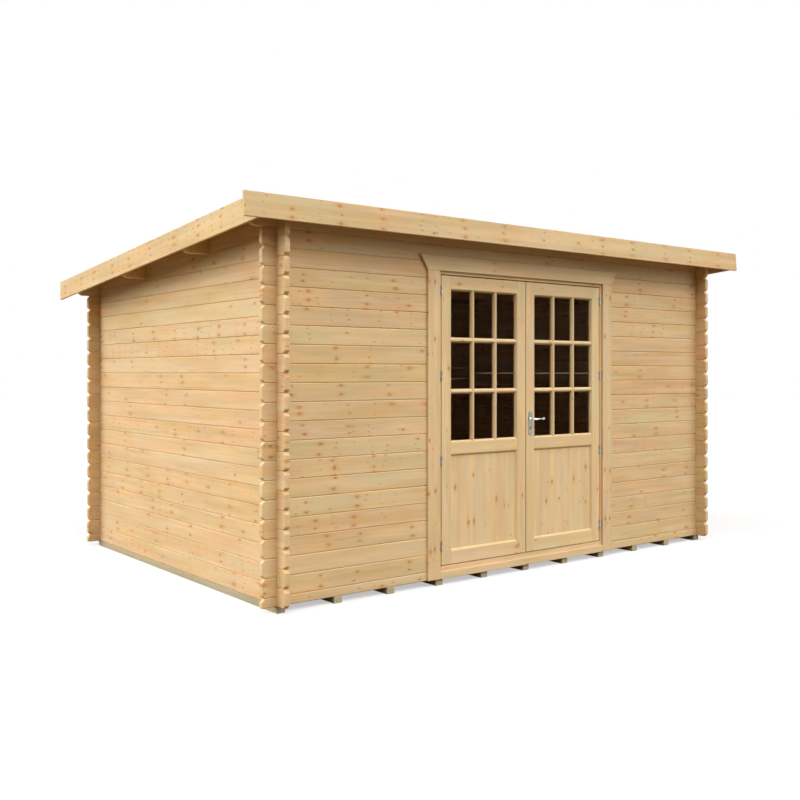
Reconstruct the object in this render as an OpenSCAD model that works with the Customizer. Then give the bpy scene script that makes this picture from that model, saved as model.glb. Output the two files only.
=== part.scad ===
// Log cabin with a pent roof and a glazed double door.
// The front wall faces -Y, +X runs to the right along it and +Z is up.
// Inside the modules Y = 0 is the outer face of the front wall and Z = 0 is the base of the walls;
// the last lines of the file set the whole cabin on its bearers, centred on its overall size.

/* [Logs] */
// Height of one log course
log_h = 114; // [100:1:130]
// Thickness of a log
log_t = 34; // [28:1:45]
// Width across the outer faces of the side walls
cabin_w = 4110; // [3400:10:5000]
// Depth across the outer faces of the front and back walls
cabin_d = 2855; // [2300:10:3500]
// Full courses above the half log in the front wall
front_courses = 20; // [20:1:22]
// Full courses above the half log in the back wall
back_courses = 18; // [17:1:19]
// How far the front and back logs run past the side walls
cross_end = 98; // [80:1:130]
// How far the side logs run past the front and back walls
side_end = 95; // [60:1:110]
// How far the top logs and the purlins run past the side walls
beam_end = 182; // [150:1:190]
// Chamfer on the corners of a log end
end_chamfer = 19; // [10:1:24]
// Radius of the lower corner at the end of a top log or purlin
beam_round = 46; // [40:1:90]

/* [Floor] */
// Number of bearers
bearer_count = 11; // [7:2:13]
// Width of a bearer
bearer_w = 60; // [38:1:75]
// Height of a bearer
bearer_h = 42; // [38:1:75]
// Thickness of the floor
floor_t = 18; // [16:1:27]

/* [Roof] */
// Thickness of the roof boards
roof_t = 18; // [16:1:24]
// Overhang of the roof boards past the front wall, along the slope
eaves_front = 146; // [130:1:220]
// Overhang of the roof past the back wall
eaves_back = 276; // [200:1:320]
// Overhang of the roof past each side wall, to the outer face of the bargeboard
eaves_side = 222; // [220:1:280]
// Thickness of the fascias and bargeboards
fascia_t = 18; // [16:1:24]
// Height of the front fascia
fascia_h = 145; // [120:1:170]
// How far the front fascia runs past each bargeboard
fascia_end = 82; // [20:1:100]
// Height of the bargeboards
barge_h = 147; // [115:1:165]
// Height of the back fascia
back_fascia_h = 65; // [40:1:100]
// How far the fascias and bargeboards stand above the roof boards
fascia_up = 18; // [2:1:20]
// Width of a purlin
purlin_w = 44; // [38:1:60]
// Depth of a purlin
purlin_h = 118; // [100:1:150]
// Distance from the front wall's outer face to the first purlin
purlin_1 = 868; // [800:1:1000]
// Distance from the front wall's outer face to the second purlin
purlin_2 = 1890; // [1700:1:2000]

/* [Door frame] */
// Height of the door leaves
leaf_h = 1936; // [1800:1:2000]
// Width of one door leaf
leaf_w = 786; // [700:1:900]
// Height of the leaves' lower edge above the wall base
leaf_z = 87; // [75:1:100]
// Gap between a leaf and its frame
leaf_gap = 6; // [5:0.5:8]
// Gap between the two leaves
meet_gap = 8; // [7:0.5:12]
// Width of the frame from the reveal to the log ends
jamb_w = 35; // [28:1:50]
// Depth of the frame
frame_d = 70; // [60:1:90]
// How far the frame grips behind the logs
frame_lip = 34; // [20:1:50]
// How far the door stop laps behind the leaves
stop_lap = 12; // [8:1:16]
// Width of the trim boards beside the door
trim_w = 101; // [80:1:120]
// Thickness of the trim boards
trim_t = 16; // [12:1:22]
// How much of the frame shows inside the trim boards
frame_show = 21; // [16:1:26]
// Height of the trim board over the door
head_trim_h = 102; // [80:1:120]
// How far the ends of the head trim flare out at the top
head_flare = 65; // [0:1:90]
// Height of the trim board under the door
sill_trim_h = 49; // [40:1:60]

/* [Door leaves] */
// Thickness of a leaf
leaf_t = 44; // [35:1:45]
// Width of the stiles
stile_w = 80; // [75:1:100]
// Height of the top rail
top_rail_h = 86; // [75:1:110]
// Height of the middle rail
mid_rail_h = 75; // [60:1:100]
// Height of the bottom rail
bottom_rail_h = 86; // [80:1:120]
// Height of the opening for the lower panel
panel_h = 653; // [560:1:700]
// Thickness of the lower panel
panel_t = 16; // [12:1:20]
// Thickness of the glass
glass_t = 4; // [3:1:6]
// How deep the panel and the glass sit in their grooves
groove = 9; // [6:1:12]

/* [Hinges] */
// Number of hinges on each leaf
hinge_count = 4; // [3:1:5]
// Height of the lowest hinge's middle above the leaf's lower edge
hinge_low = 129; // [100:1:200]
// Distance of the highest hinge's middle below the leaf's upper edge
hinge_high = 104; // [100:1:200]
// Height of a hinge, both halves together
hinge_h = 70; // [60:1:90]
// Outer radius of a hinge barrel
barrel_r = 6; // [6:0.5:7]
// Radius of the hinge pin
pin_r = 3.5; // [3:0.5:4]
// Radius of the studs that screw into the wood
stud_r = 3; // [2.5:0.5:3.5]
// Length of the studs from the hinge axis
stud_l = 36; // [30:1:38]

/* [Handle] */
// Distance of the lever's axis from the right leaf's meeting edge
lever_x = 40; // [34:1:50]
// Height of the lever's axis above the leaf's lower edge
lever_z = 953; // [900:1:1050]
// Length of the lever from its axis
lever_l = 108; // [90:1:125]
// Height of the lever arm
lever_h = 13; // [10:1:16]
// Thickness of the lever arm
lever_t = 9; // [7:1:12]
// Distance of the lever arm's middle from the door's face
lever_out = 40; // [35:1:50]
// Radius of the lever's neck
neck_r = 9; // [8:0.5:10]
// Radius of the spindle
spindle_r = 4; // [3.5:0.5:5]
// Outer radius of the scroll at the lever's tip
scroll_r = 13; // [10:1:16]
// Width of the handle plates
plate_w = 40; // [34:1:44]
// Height of the handle plates
plate_h = 173; // [160:1:190]
// Thickness of the handle plates
plate_t = 2.5; // [2:0.5:4]
// Distance from the plates' upper end to the lever's axis
plate_up = 54; // [45:1:60]
// Distance of the keyhole below the lever's axis
key_drop = 61; // [50:1:72]
// Radius of the keyhole's round part
key_r = 4; // [3:0.5:5]

/* [Hidden] */
// Gap left between pieces that meet
fit = 0.3;
// Radial clearance of a hinge pin in its bore
pin_fit = 0.05;
// Thinnest edge left on a log that is cut to the roof slope
feather = 6;
// Overshoot of a cutting shape past the surface that it cuts
over = 1;
$fn = 48;

// roof: a line at Y = 0 and roof_z, falling to the back
front_top = (front_courses + 0.5) * log_h;
back_top = (back_courses + 0.5) * log_h;
pitch = atan((front_top - back_top) / cabin_d);
roof_back = cabin_d + eaves_back;
barge_in = cabin_w / 2 + eaves_side - fascia_t;
roof_up = roof_t + fascia_up;
fascia_front = roof_point(-eaves_front - fascia_t, roof_up - fascia_h)[0];

// where the cabin's own middle lies between its foremost and rearmost edges
middle_y = (fascia_front + roof_back) / 2;

// doorway
leaf_in = meet_gap / 2;
leaf_out = leaf_in + leaf_w;
leaf_top = leaf_z + leaf_h;
reveal = leaf_out + leaf_gap;
frame_out = reveal + jamb_w;
frame_top = leaf_top + leaf_gap + jamb_w;
trim_in = reveal + frame_show;
trim_top = leaf_top + leaf_gap + frame_show;
stop_y = leaf_t + leaf_gap;
door_course = floor(frame_top / log_h + 0.5);

// openings of one leaf
glass_top = leaf_top - top_rail_h;
panel_z = leaf_z + bottom_rail_h;
mid_z = panel_z + panel_h;
glass_z = mid_z + mid_rail_h;
open_in = leaf_in + stile_w;
open_w = leaf_w - 2 * stile_w;

// hinge axis and the studs' angle to the door's face
hinge_x = leaf_out + leaf_gap / 2;
hinge_y = -barrel_r;
stud_turn = 30;
knuckle_h = hinge_h / 2 - fit;
handle_x = leaf_in + lever_x;
handle_z = leaf_z + lever_z;
neck_gap = 0.6;

wall_wood = "#e3c48e";
frame_wood = "#e0bd86";
bearer_wood = "#a8a083";
steel = "#b9bcbe";
pane = "#3a2a1c";

// ---- roof line ----

// a point at a distance along the slope and a height square to it
function roof_point(along, up) =
    [along * cos(pitch) + up * sin(pitch), front_top - along * sin(pitch) + up * cos(pitch)];

// height of a line parallel to the roof, at a depth y and a height square to the slope
function roof_z(y, up) = front_top - y * tan(pitch) + up / cos(pitch);

// depth at which the underside of the roof has come down to a height
function roof_y(z) = (front_top - z) / tan(pitch);

// everything below the roof boards
module under_roof() {
    side([
        [-eaves_front * 2, 0], [roof_back * 2, 0],
        [roof_back * 2, roof_z(roof_back * 2, -fit)], [-eaves_front * 2, roof_z(-eaves_front * 2, -fit)]
    ], 2 * (barge_in + over));
}

// an outline in Y and Z, carried along X and centred on x
module side(points, width, x = 0) {
    translate([x - width / 2, 0, 0])
        rotate([90, 0, 90])
            linear_extrude(width)
                polygon(points);
}

// an outline in X and Z, carried back along Y from y
module front(points, depth, y = 0) {
    translate([0, y + depth, 0])
        rotate([90, 0, 0])
            linear_extrude(depth)
                polygon(points);
}

// ---- logs ----

// right half of a log's outline: lengthwise from its middle, upwards from its lower joint
function half_log(half, notch, web_top) =
    let (low = fit / 2, high = log_h - fit / 2, web = log_h / 4 + fit / 2, w = log_t / 2 + fit, c = end_chamfer)
    [
        [notch - w, low], [notch - w, web], [notch + w, web], [notch + w, low],
        [half - c, low], [half, low + c], [half, high - c], [half - c, high],
        [notch + w, high], [notch + w, web_top], [notch - w, web_top], [notch - w, high]
    ];

function mirrored(points) =
    concat(points, [for (i = [len(points) - 1 : -1 : 0]) [-points[i][0], points[i][1]]]);

function moved(points, u, v) = [for (p = points) [p[0] + u, p[1] + v]];

notched = 3 * log_h / 4 - fit / 2;

// a log of the front or back wall, with its lower joint at z
module cross_log(z, y) {
    outline = mirrored(half_log(cabin_w / 2 + cross_end, (cabin_w - log_t) / 2, notched));
    front(moved(outline, 0, z), log_t, y);
}

// a course of the front or back wall; the first is half a log, standing on the bearers
module cross_course(k, y) {
    intersection() {
        cross_log((k - 0.5) * log_h, y);
        translate([-cabin_w, y - over, fit / 2])
            cube([2 * cabin_w, log_t + 2 * over, front_top * 2]);
    }
}

// the doorway cut through the front wall
module doorway() {
    translate([-frame_out - fit, -over, -over])
        cube([2 * (frame_out + fit), log_t + 2 * over, frame_top + fit + over]);
}

// the front wall's courses beside the doorway, on the side given by -1 or 1
module beside_door(dir) {
    for (k = [0 : door_course - 1])
        intersection() {
            difference() {
                cross_course(k, 0);
                doorway();
            }
            translate([dir > 0 ? 0 : -cabin_w, -over, 0])
                cube([cabin_w, log_t + 2 * over, front_top]);
        }
}

// cuts the lower corner at the end of a beam to a quarter round
module rounded_end(half, z, y, depth) {
    for (dir = [-1, 1])
        scale([dir, 1, 1])
            translate([half - beam_round, y - over, z])
                difference() {
                    translate([0, 0, -over])
                        cube([beam_round + over, depth + 2 * over, beam_round + over]);
                    translate([0, -over, beam_round])
                        rotate([-90, 0, 0])
                            cylinder(r = beam_round, h = depth + 4 * over);
                }
}

// the top log of the front or back wall, cut to the slope, with its web's top at web_top
module top_log(k, y, web_top) {
    half = cabin_w / 2 + beam_end;
    low = fit / 2;
    web = log_h / 4 + low;
    notch = (cabin_w - log_t) / 2;
    w = log_t / 2 + fit;
    z = (k - 0.5) * log_h;
    outline = mirrored([
        [notch - w, low], [notch - w, web], [notch + w, web], [notch + w, low],
        [half, low], [half, log_h], [notch + w, log_h],
        [notch + w, web_top], [notch - w, web_top], [notch - w, log_h]
    ]);
    difference() {
        intersection() {
            front(moved(outline, 0, z), log_t, y);
            under_roof();
        }
        rounded_end(half, z + low, y, log_t);
    }
}

// a course of a side wall, cut to the roof slope where it reaches it
module side_course(j, dir) {
    z = j * log_h;
    outline = mirrored(half_log(cabin_d / 2 + side_end, (cabin_d - log_t) / 2, notched));
    tip = min(roof_y(z + feather), cabin_d + 2 * side_end);
    difference() {
        intersection() {
            side(moved(outline, cabin_d / 2, z), log_t, dir * (cabin_w - log_t) / 2);
            under_roof();
            translate([-cabin_w, -cabin_d, 0])
                cube([2 * cabin_w, cabin_d + tip, front_top * 2]);
        }
        purlin_slots();
    }
}

// the tapered top of a side wall, in lengths that the purlins divide
module rake(dir) {
    z = (front_courses - 1) * log_h;
    low = z + fit / 2;
    mid = log_t / 2;
    w = mid + fit;
    slot = z + notched;
    web = z + log_h / 4 + fit / 2;
    top = front_top + log_h;
    tip = roof_y(z + feather);
    difference() {
        intersection() {
            side([
                [-side_end, top], [-side_end, low + end_chamfer], [-side_end + end_chamfer, low],
                [mid - w, low], [mid - w, web], [mid + w, web], [mid + w, low], [tip, low], [tip, top],
                [mid + w, top], [mid + w, slot], [mid - w, slot], [mid - w, top]
            ], log_t, dir * (cabin_w - log_t) / 2);
            under_roof();
        }
        purlin_slots();
    }
}

// ---- purlins ----

// depth of each purlin and the height of its underside
purlins = [purlin_1, purlin_2];
function purlin_z(y) = roof_z(y, 0) - purlin_h;

module purlin_slots() {
    for (y = purlins)
        translate([-cabin_w, y - fit, purlin_z(y) - fit])
            cube([2 * cabin_w, purlin_w + 2 * fit, purlin_h * 2]);
}

module purlin(y) {
    half = cabin_w / 2 + beam_end;
    difference() {
        intersection() {
            translate([-half, y, purlin_z(y)])
                cube([2 * half, purlin_w, purlin_h * 2]);
            under_roof();
        }
        rounded_end(half, purlin_z(y), y, purlin_w);
    }
}

// ---- roof ----

// a board in the slope of the roof, from its upper to its lower edge, with a plumb end at the back
module sloping(from, to, low, high, width, x = 0) {
    side([
        roof_point(from, low), [to, roof_z(to, low)],
        [to, roof_z(to, high)], roof_point(from, high)
    ], width, x);
}

module roof_deck() {
    color(wall_wood)
        sloping(-eaves_front + fit, roof_back - fascia_t - fit, 0, roof_t, 2 * (barge_in - fit));
}

module bargeboard(dir) {
    color(wall_wood)
        sloping(-eaves_front + fit, roof_back, roof_up - barge_h, roof_up, fascia_t,
            dir * (barge_in + fascia_t / 2));
}

module front_fascia() {
    far = -eaves_front - fascia_t;
    low = roof_up - fascia_h;
    color(wall_wood)
        side([
            roof_point(far, low), roof_point(-eaves_front, low),
            roof_point(-eaves_front, roof_up), roof_point(far, roof_up)
        ], 2 * (barge_in + fascia_t + fascia_end));
}

module back_fascia() {
    near = roof_back - fascia_t;
    color(wall_wood)
        side([
            [near, roof_z(near, roof_up) - back_fascia_h], [roof_back, roof_z(near, roof_up) - back_fascia_h],
            [roof_back, roof_z(roof_back, roof_up)], [near, roof_z(near, roof_up)]
        ], 2 * (barge_in - fit));
}

// ---- floor ----

module floor_bearers() {
    pitch_x = (cabin_w - bearer_w) / (bearer_count - 1);
    color(bearer_wood)
        for (i = [0 : bearer_count - 1])
            translate([-cabin_w / 2 + i * pitch_x, 0, -bearer_h])
                cube([bearer_w, cabin_d, bearer_h - fit / 2]);
}

module floor_deck() {
    inset = log_t + fit;
    color(wall_wood)
        translate([-cabin_w / 2 + inset, inset, fit / 2])
            cube([cabin_w - 2 * inset, cabin_d - 2 * inset, floor_t]);
}

// ---- door frame ----

// the right jamb: a bar between leaf and logs, a lip behind the logs and a stop behind the leaf
module jamb() {
    stop_low = leaf_z + stop_lap + fit;
    stop_high = leaf_top - stop_lap - fit;
    floor_top = floor_t + 2 * fit;
    difference() {
        union() {
            translate([reveal, 0, fit])
                cube([jamb_w, log_t + fit, frame_top - fit]);
            translate([reveal, log_t + fit, floor_top])
                cube([jamb_w + frame_lip, frame_d - log_t - fit, frame_top - floor_top]);
            translate([reveal - stop_lap - leaf_gap, stop_y, stop_low])
                cube([stop_lap + leaf_gap + over, frame_d - stop_y, stop_high - stop_low]);
        }
        translate([reveal, log_t + fit - over, 0])
            cube([jamb_w, 2 * over, floor_top]);
        studs(1, stud_r + fit);
    }
}

module frame_head() {
    half = reveal - fit;
    low = leaf_top + leaf_gap;
    color(frame_wood)
        side([
            [0, low], [stop_y, low], [stop_y, leaf_top - stop_lap], [frame_d, leaf_top - stop_lap],
            [frame_d, frame_top], [0, frame_top]
        ], 2 * half);
}

module threshold() {
    half = reveal - fit;
    high = leaf_z - leaf_gap;
    floor_top = floor_t + 2 * fit;
    color(frame_wood)
        side([
            [0, fit], [log_t, fit], [log_t, floor_top], [frame_d, floor_top],
            [frame_d, leaf_z + stop_lap], [stop_y, leaf_z + stop_lap], [stop_y, high], [0, high]
        ], 2 * half);
}

module trim_post(dir) {
    color(frame_wood)
        translate([dir > 0 ? trim_in : -trim_in - trim_w, -trim_t - fit, fit])
            cube([trim_w, trim_t, trim_top - fit]);
}

module head_trim() {
    half = trim_in + trim_w;
    color(frame_wood)
        front([
            [-half, trim_top + fit], [half, trim_top + fit],
            [half + head_flare, trim_top + head_trim_h], [-half - head_flare, trim_top + head_trim_h]
        ], trim_t, -trim_t - fit);
}

module sill_trim() {
    half = trim_in - fit;
    color(frame_wood)
        translate([-half, -trim_t - fit, fit])
            cube([2 * half, trim_t, sill_trim_h - fit]);
}

// ---- hinges, drawn for the right leaf ----

function hinge_z(i) =
    leaf_z + hinge_low + i * (leaf_h - hinge_low - hinge_high) / (hinge_count - 1);

// a stud from a hinge axis into the frame (1) or into the leaf (-1)
module stud(z, way, r) {
    translate([hinge_x, hinge_y, z])
        rotate([0, 90, way > 0 ? stud_turn : 180 - stud_turn])
            cylinder(r = r, h = stud_l + (r > stud_r ? fit : 0));
}

function stud_z(i, way) = hinge_z(i) - way * hinge_h / 4;

module studs(way, r) {
    for (i = [0 : hinge_count - 1])
        stud(stud_z(i, way), way, r);
}

// the lower halves, with their pins, fixed to the frame
module frame_hinges() {
    pin_l = knuckle_h - 2 * pin_r;
    for (i = [0 : hinge_count - 1]) {
        translate([hinge_x, hinge_y, hinge_z(i) - hinge_h / 2])
            cylinder(r = barrel_r, h = knuckle_h);
        translate([hinge_x, hinge_y, hinge_z(i) - hinge_h / 4])
            cylinder(r = pin_r, h = hinge_h / 4 + pin_l);
        stud(stud_z(i, 1), 1, stud_r);
    }
}

// the upper halves, bored for the pins, fixed to the leaf
module leaf_hinges() {
    bore_l = knuckle_h - pin_r;
    difference() {
        for (i = [0 : hinge_count - 1]) {
            translate([hinge_x, hinge_y, hinge_z(i) + fit])
                cylinder(r = barrel_r, h = knuckle_h);
            stud(stud_z(i, -1), -1, stud_r);
        }
        for (i = [0 : hinge_count - 1])
            translate([hinge_x, hinge_y, hinge_z(i) + fit - over])
                cylinder(r = pin_r + pin_fit, h = bore_l + over);
    }
}

// ---- door leaves, drawn for the right leaf ----

// the panel or the glass, grown by a clearance, between two heights of an opening
module infill(low, high, thick, grow) {
    translate([open_in - groove - grow, (leaf_t - thick) / 2 - grow, low - groove - grow])
        cube([open_w + 2 * (groove + grow), thick + 2 * grow, high - low + 2 * (groove + grow)]);
}

module panel() infill(panel_z, mid_z, panel_t, 0);

module glass() infill(glass_z, glass_top, glass_t, 0);

module grooves() {
    infill(panel_z, mid_z, panel_t, fit);
    infill(glass_z, glass_top, glass_t, fit);
}

module stiles() {
    difference() {
        for (x = [leaf_in, leaf_out - stile_w])
            translate([x, 0, leaf_z])
                cube([stile_w, leaf_t, leaf_h]);
        grooves();
        studs(-1, stud_r + fit);
    }
}

module rails() {
    difference() {
        for (r = [[leaf_z, bottom_rail_h], [mid_z, mid_rail_h], [glass_top, top_rail_h]])
            translate([open_in + fit, 0, r[0]])
                cube([open_w - 2 * fit, leaf_t, r[1]]);
        grooves();
    }
}

// ---- handle, on the right leaf ----

// a cylinder along Y on the lever's axis, between two depths
module on_axis(r, from, to) {
    translate([handle_x, from, handle_z])
        rotate([-90, 0, 0])
            cylinder(r = r, h = to - from);
}

module plate(y) {
    r = plate_w / 2;
    top = handle_z + plate_up - r;
    low = handle_z + plate_up - plate_h + r;
    key = handle_z - key_drop;
    difference() {
        union() {
            for (z = [top, low])
                translate([handle_x, y, z])
                    rotate([-90, 0, 0])
                        cylinder(r = r, h = plate_t);
            translate([handle_x - r, y, low])
                cube([plate_w, plate_t, top - low]);
        }
        on_axis(neck_r + neck_gap, y - over, y + plate_t + over);
        translate([handle_x, y - over, key])
            rotate([-90, 0, 0])
                cylinder(r = key_r, h = plate_t + 2 * over);
        translate([handle_x - key_r / 2, y - over, key - 3 * key_r])
            cube([key_r, plate_t + 2 * over, 3 * key_r]);
    }
}

// one lever, on the outside of the door: a neck, an arm and a scroll that turns up at its tip
module lever() {
    tip = handle_x + lever_l - scroll_r;
    difference() {
        union() {
            on_axis(neck_r, -lever_out - lever_t / 2, -fit);
            translate([handle_x, -lever_out - lever_t / 2, handle_z - lever_h / 2])
                cube([tip - handle_x, lever_t, lever_h]);
            translate([tip, -lever_out - lever_t / 2, handle_z - lever_h / 2 + scroll_r])
                rotate([-90, 0, 0])
                    cylinder(r = scroll_r, h = lever_t);
        }
        on_axis(spindle_r + fit, -lever_out, over);
    }
}

// ---- pieces, each a node of its own ----

module placed() translate([0, -middle_y, bearer_h]) children();

module front_wall_left() color(wall_wood) beside_door(-1);

module front_wall_right() color(wall_wood) beside_door(1);

module front_wall_top() {
    color(wall_wood)
        difference() {
            for (k = [door_course : front_courses - 1])
                cross_course(k, 0);
            doorway();
        }
}

module front_top_log() color(wall_wood) top_log(front_courses, 0, log_h);

module back_wall() {
    color(wall_wood)
        for (k = [0 : back_courses - 1])
            cross_course(k, cabin_d - log_t);
}

module back_top_log() color(wall_wood) top_log(back_courses, cabin_d - log_t, notched);

module side_wall(dir) {
    color(wall_wood)
        for (j = [0 : front_courses - 2])
            side_course(j, dir);
}

module front_purlin() color(wall_wood) purlin(purlin_1);

module back_purlin() color(wall_wood) purlin(purlin_2);

module left_jamb() color(frame_wood) mirror([1, 0, 0]) jamb();

module right_jamb() color(frame_wood) jamb();

module left_frame_hinges() color(steel) mirror([1, 0, 0]) frame_hinges();

module right_frame_hinges() color(steel) frame_hinges();

module left_door_stiles() color(frame_wood) mirror([1, 0, 0]) stiles();

module left_door_rails() color(frame_wood) mirror([1, 0, 0]) rails();

module left_door_panel() color(wall_wood) mirror([1, 0, 0]) panel();

module left_door_glass() color(pane) mirror([1, 0, 0]) glass();

module left_door_hinges() color(steel) mirror([1, 0, 0]) leaf_hinges();

module right_door_stiles() {
    color(frame_wood)
        difference() {
            stiles();
            on_axis(neck_r + neck_gap, -over, leaf_t + over);
        }
}

module right_door_rails() color(frame_wood) rails();

module right_door_panel() color(wall_wood) panel();

module right_door_glass() color(pane) glass();

module right_door_hinges() color(steel) leaf_hinges();

module handle_plates() {
    color(steel) {
        plate(-plate_t - fit);
        plate(leaf_t + fit);
    }
}

module outer_lever() color(steel) lever();

module inner_lever() color(steel) translate([0, leaf_t, 0]) mirror([0, 1, 0]) lever();

module spindle() color(steel) on_axis(spindle_r, -lever_out + fit, leaf_t + lever_out - fit);

placed() floor_bearers();
placed() floor_deck();
placed() front_wall_left();
placed() front_wall_right();
placed() front_wall_top();
placed() front_top_log();
placed() back_wall();
placed() back_top_log();
placed() side_wall(-1);  // left_wall
placed() side_wall(1);  // right_wall
placed() color(wall_wood) rake(-1);  // left_rake
placed() color(wall_wood) rake(1);  // right_rake
placed() front_purlin();
placed() back_purlin();
placed() roof_deck();
placed() front_fascia();
placed() back_fascia();
placed() bargeboard(-1);  // left_bargeboard
placed() bargeboard(1);  // right_bargeboard
placed() left_jamb();
placed() right_jamb();
placed() frame_head();
placed() threshold();
placed() trim_post(-1);  // left_trim
placed() trim_post(1);  // right_trim
placed() head_trim();
placed() sill_trim();
placed() left_frame_hinges();
placed() right_frame_hinges();
placed() left_door_stiles();
placed() left_door_rails();
placed() left_door_panel();
placed() left_door_glass();
placed() left_door_hinges();
placed() right_door_stiles();
placed() right_door_rails();
placed() right_door_panel();
placed() right_door_glass();
placed() right_door_hinges();
placed() handle_plates();
placed() outer_lever();
placed() inner_lever();
placed() spindle();
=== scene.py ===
import math

import bpy
import numpy as np
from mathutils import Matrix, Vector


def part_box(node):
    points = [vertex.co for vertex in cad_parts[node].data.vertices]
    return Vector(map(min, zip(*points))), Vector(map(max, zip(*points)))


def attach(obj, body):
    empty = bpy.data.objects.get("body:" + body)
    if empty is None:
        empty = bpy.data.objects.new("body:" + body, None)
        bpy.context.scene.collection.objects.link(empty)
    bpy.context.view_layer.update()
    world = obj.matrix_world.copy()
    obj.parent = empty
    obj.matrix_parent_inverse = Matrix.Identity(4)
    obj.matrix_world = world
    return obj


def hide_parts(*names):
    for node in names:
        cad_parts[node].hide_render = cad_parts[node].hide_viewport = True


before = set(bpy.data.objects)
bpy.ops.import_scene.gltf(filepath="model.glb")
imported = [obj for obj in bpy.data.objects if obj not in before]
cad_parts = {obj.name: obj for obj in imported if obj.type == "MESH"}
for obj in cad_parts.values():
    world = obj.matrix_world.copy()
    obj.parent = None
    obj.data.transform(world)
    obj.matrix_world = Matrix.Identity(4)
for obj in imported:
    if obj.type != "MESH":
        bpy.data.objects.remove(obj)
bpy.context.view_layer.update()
print("frame loaded")


cabin = {
    "course": 0.114,  # height of a log
    "frontCourses": 20.5,
    "backCourses": 18.5,
    "joint": 0.0003,  # gap between two logs
    "seed": 7,
}

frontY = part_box("front_wall_top")[0].y
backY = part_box("back_wall")[1].y
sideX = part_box("right_wall")[1].x
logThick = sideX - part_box("right_wall")[0].x
joint = cabin["joint"]
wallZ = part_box("floor_bearers")[1].z + joint / 2
depth = backY - frontY
frontTop = cabin["frontCourses"] * cabin["course"]
slope = math.atan((cabin["frontCourses"] - cabin["backCourses"]) * cabin["course"] / depth)
frontLogs, backLogs = int(cabin["frontCourses"]), int(cabin["backCourses"])
chance = np.random.default_rng(cabin["seed"])


# height above the wall base of the roof's underside: front height - depth behind the front wall * tan(slope)
def roofLine(y):
    return frontTop - np.asarray(y) * math.tan(slope)


# wall coordinates (across, behind the front wall, above the wall base) to the frame: y + front, z + base
def fromWall(points):
    return points + np.array([0, frontY, wallZ])


# lowest and highest corner of a CAD node in wall coordinates: y - front, z - base
def wallBox(node):
    return [np.array(corner) - (0, frontY, wallZ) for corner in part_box(node)]


# slope coordinates (x, down the slope, square to it) to the frame: y = s cos + n sin, z = top - s sin + n cos
def fromSlope(points):
    x, s, n = points[..., 0], points[..., 1], points[..., 2]
    c, t = math.cos(slope), math.sin(slope)
    return fromWall(np.stack([x, s * c + n * t, frontTop - s * t + n * c], axis=-1))


# every face turned about if the sum of corner x next corner, dotted with the face's middle, is negative
def outward(verts, loops, sizes):
    starts = np.cumsum(sizes) - sizes
    following = np.arange(len(loops)) + 1
    following[starts + sizes - 1] = starts
    corners = verts[loops]
    area = np.add.reduceat(np.cross(corners, corners[following]), starts)
    middle = np.add.reduceat(corners, starts) / sizes[:, None]
    if (area * middle).sum() < 0:
        return loops[::-1], sizes[::-1]
    return loops, sizes


# rings of points joined ring to ring by (i, j), (i, j+1), (i+1, j+1), (i+1, j), with a cap on each end
def skin(rings):
    count, around = rings.shape[:2]
    grid = np.arange(count * around).reshape(count, around)
    beside = np.roll(grid, -1, axis=1)
    quads = np.stack([grid[:-1], beside[:-1], beside[1:], grid[1:]], axis=-1).reshape(-1, 4)
    loops = np.concatenate([quads.ravel(), grid[0][::-1], grid[-1]])
    sizes = np.concatenate([np.full(len(quads), 4), [around, around]])
    return rings.reshape(-1, 3), loops, sizes


sawing = {
    # where the pith of a board's tree runs
    "along": (1, 60),  # so far before the board's middle that no two boards show the same grain
    "aside": 0.45,  # most beside the middle, in board widths
    "narrow": 0.05,  # width taken for a narrower board
    "behind": (0.012, 0.06),  # least and most behind the board
}


# one board: its skin, and for each point (along, across, through) measured from a pith line beside the board
def board(rings, axes="xzy", place=fromWall, tone=None, smooth=False):
    verts, loops, sizes = skin(rings)
    order = ["xyz".index(a) for a in axes]
    local = verts[:, order]
    low, high = local.min(axis=0), local.max(axis=0)
    width = high - low
    pith = (low + high) / 2
    pith[0] -= chance.uniform(*sawing["along"])
    pith[1] += chance.uniform(-sawing["aside"], sawing["aside"]) * max(width[1], sawing["narrow"])
    pith[2] += chance.choice([-1, 1]) * (width[2] / 2 + chance.uniform(*sawing["behind"]))
    grain = local - pith
    value = chance.uniform(0, 1) if tone is None else tone
    placed = place(verts)
    loops, sizes = outward(placed, loops, sizes)
    return {
        "verts": placed, "loops": loops, "sizes": sizes, "grain": grain,
        "tone": np.full(len(verts), value), "smooth": smooth,
    }


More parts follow.
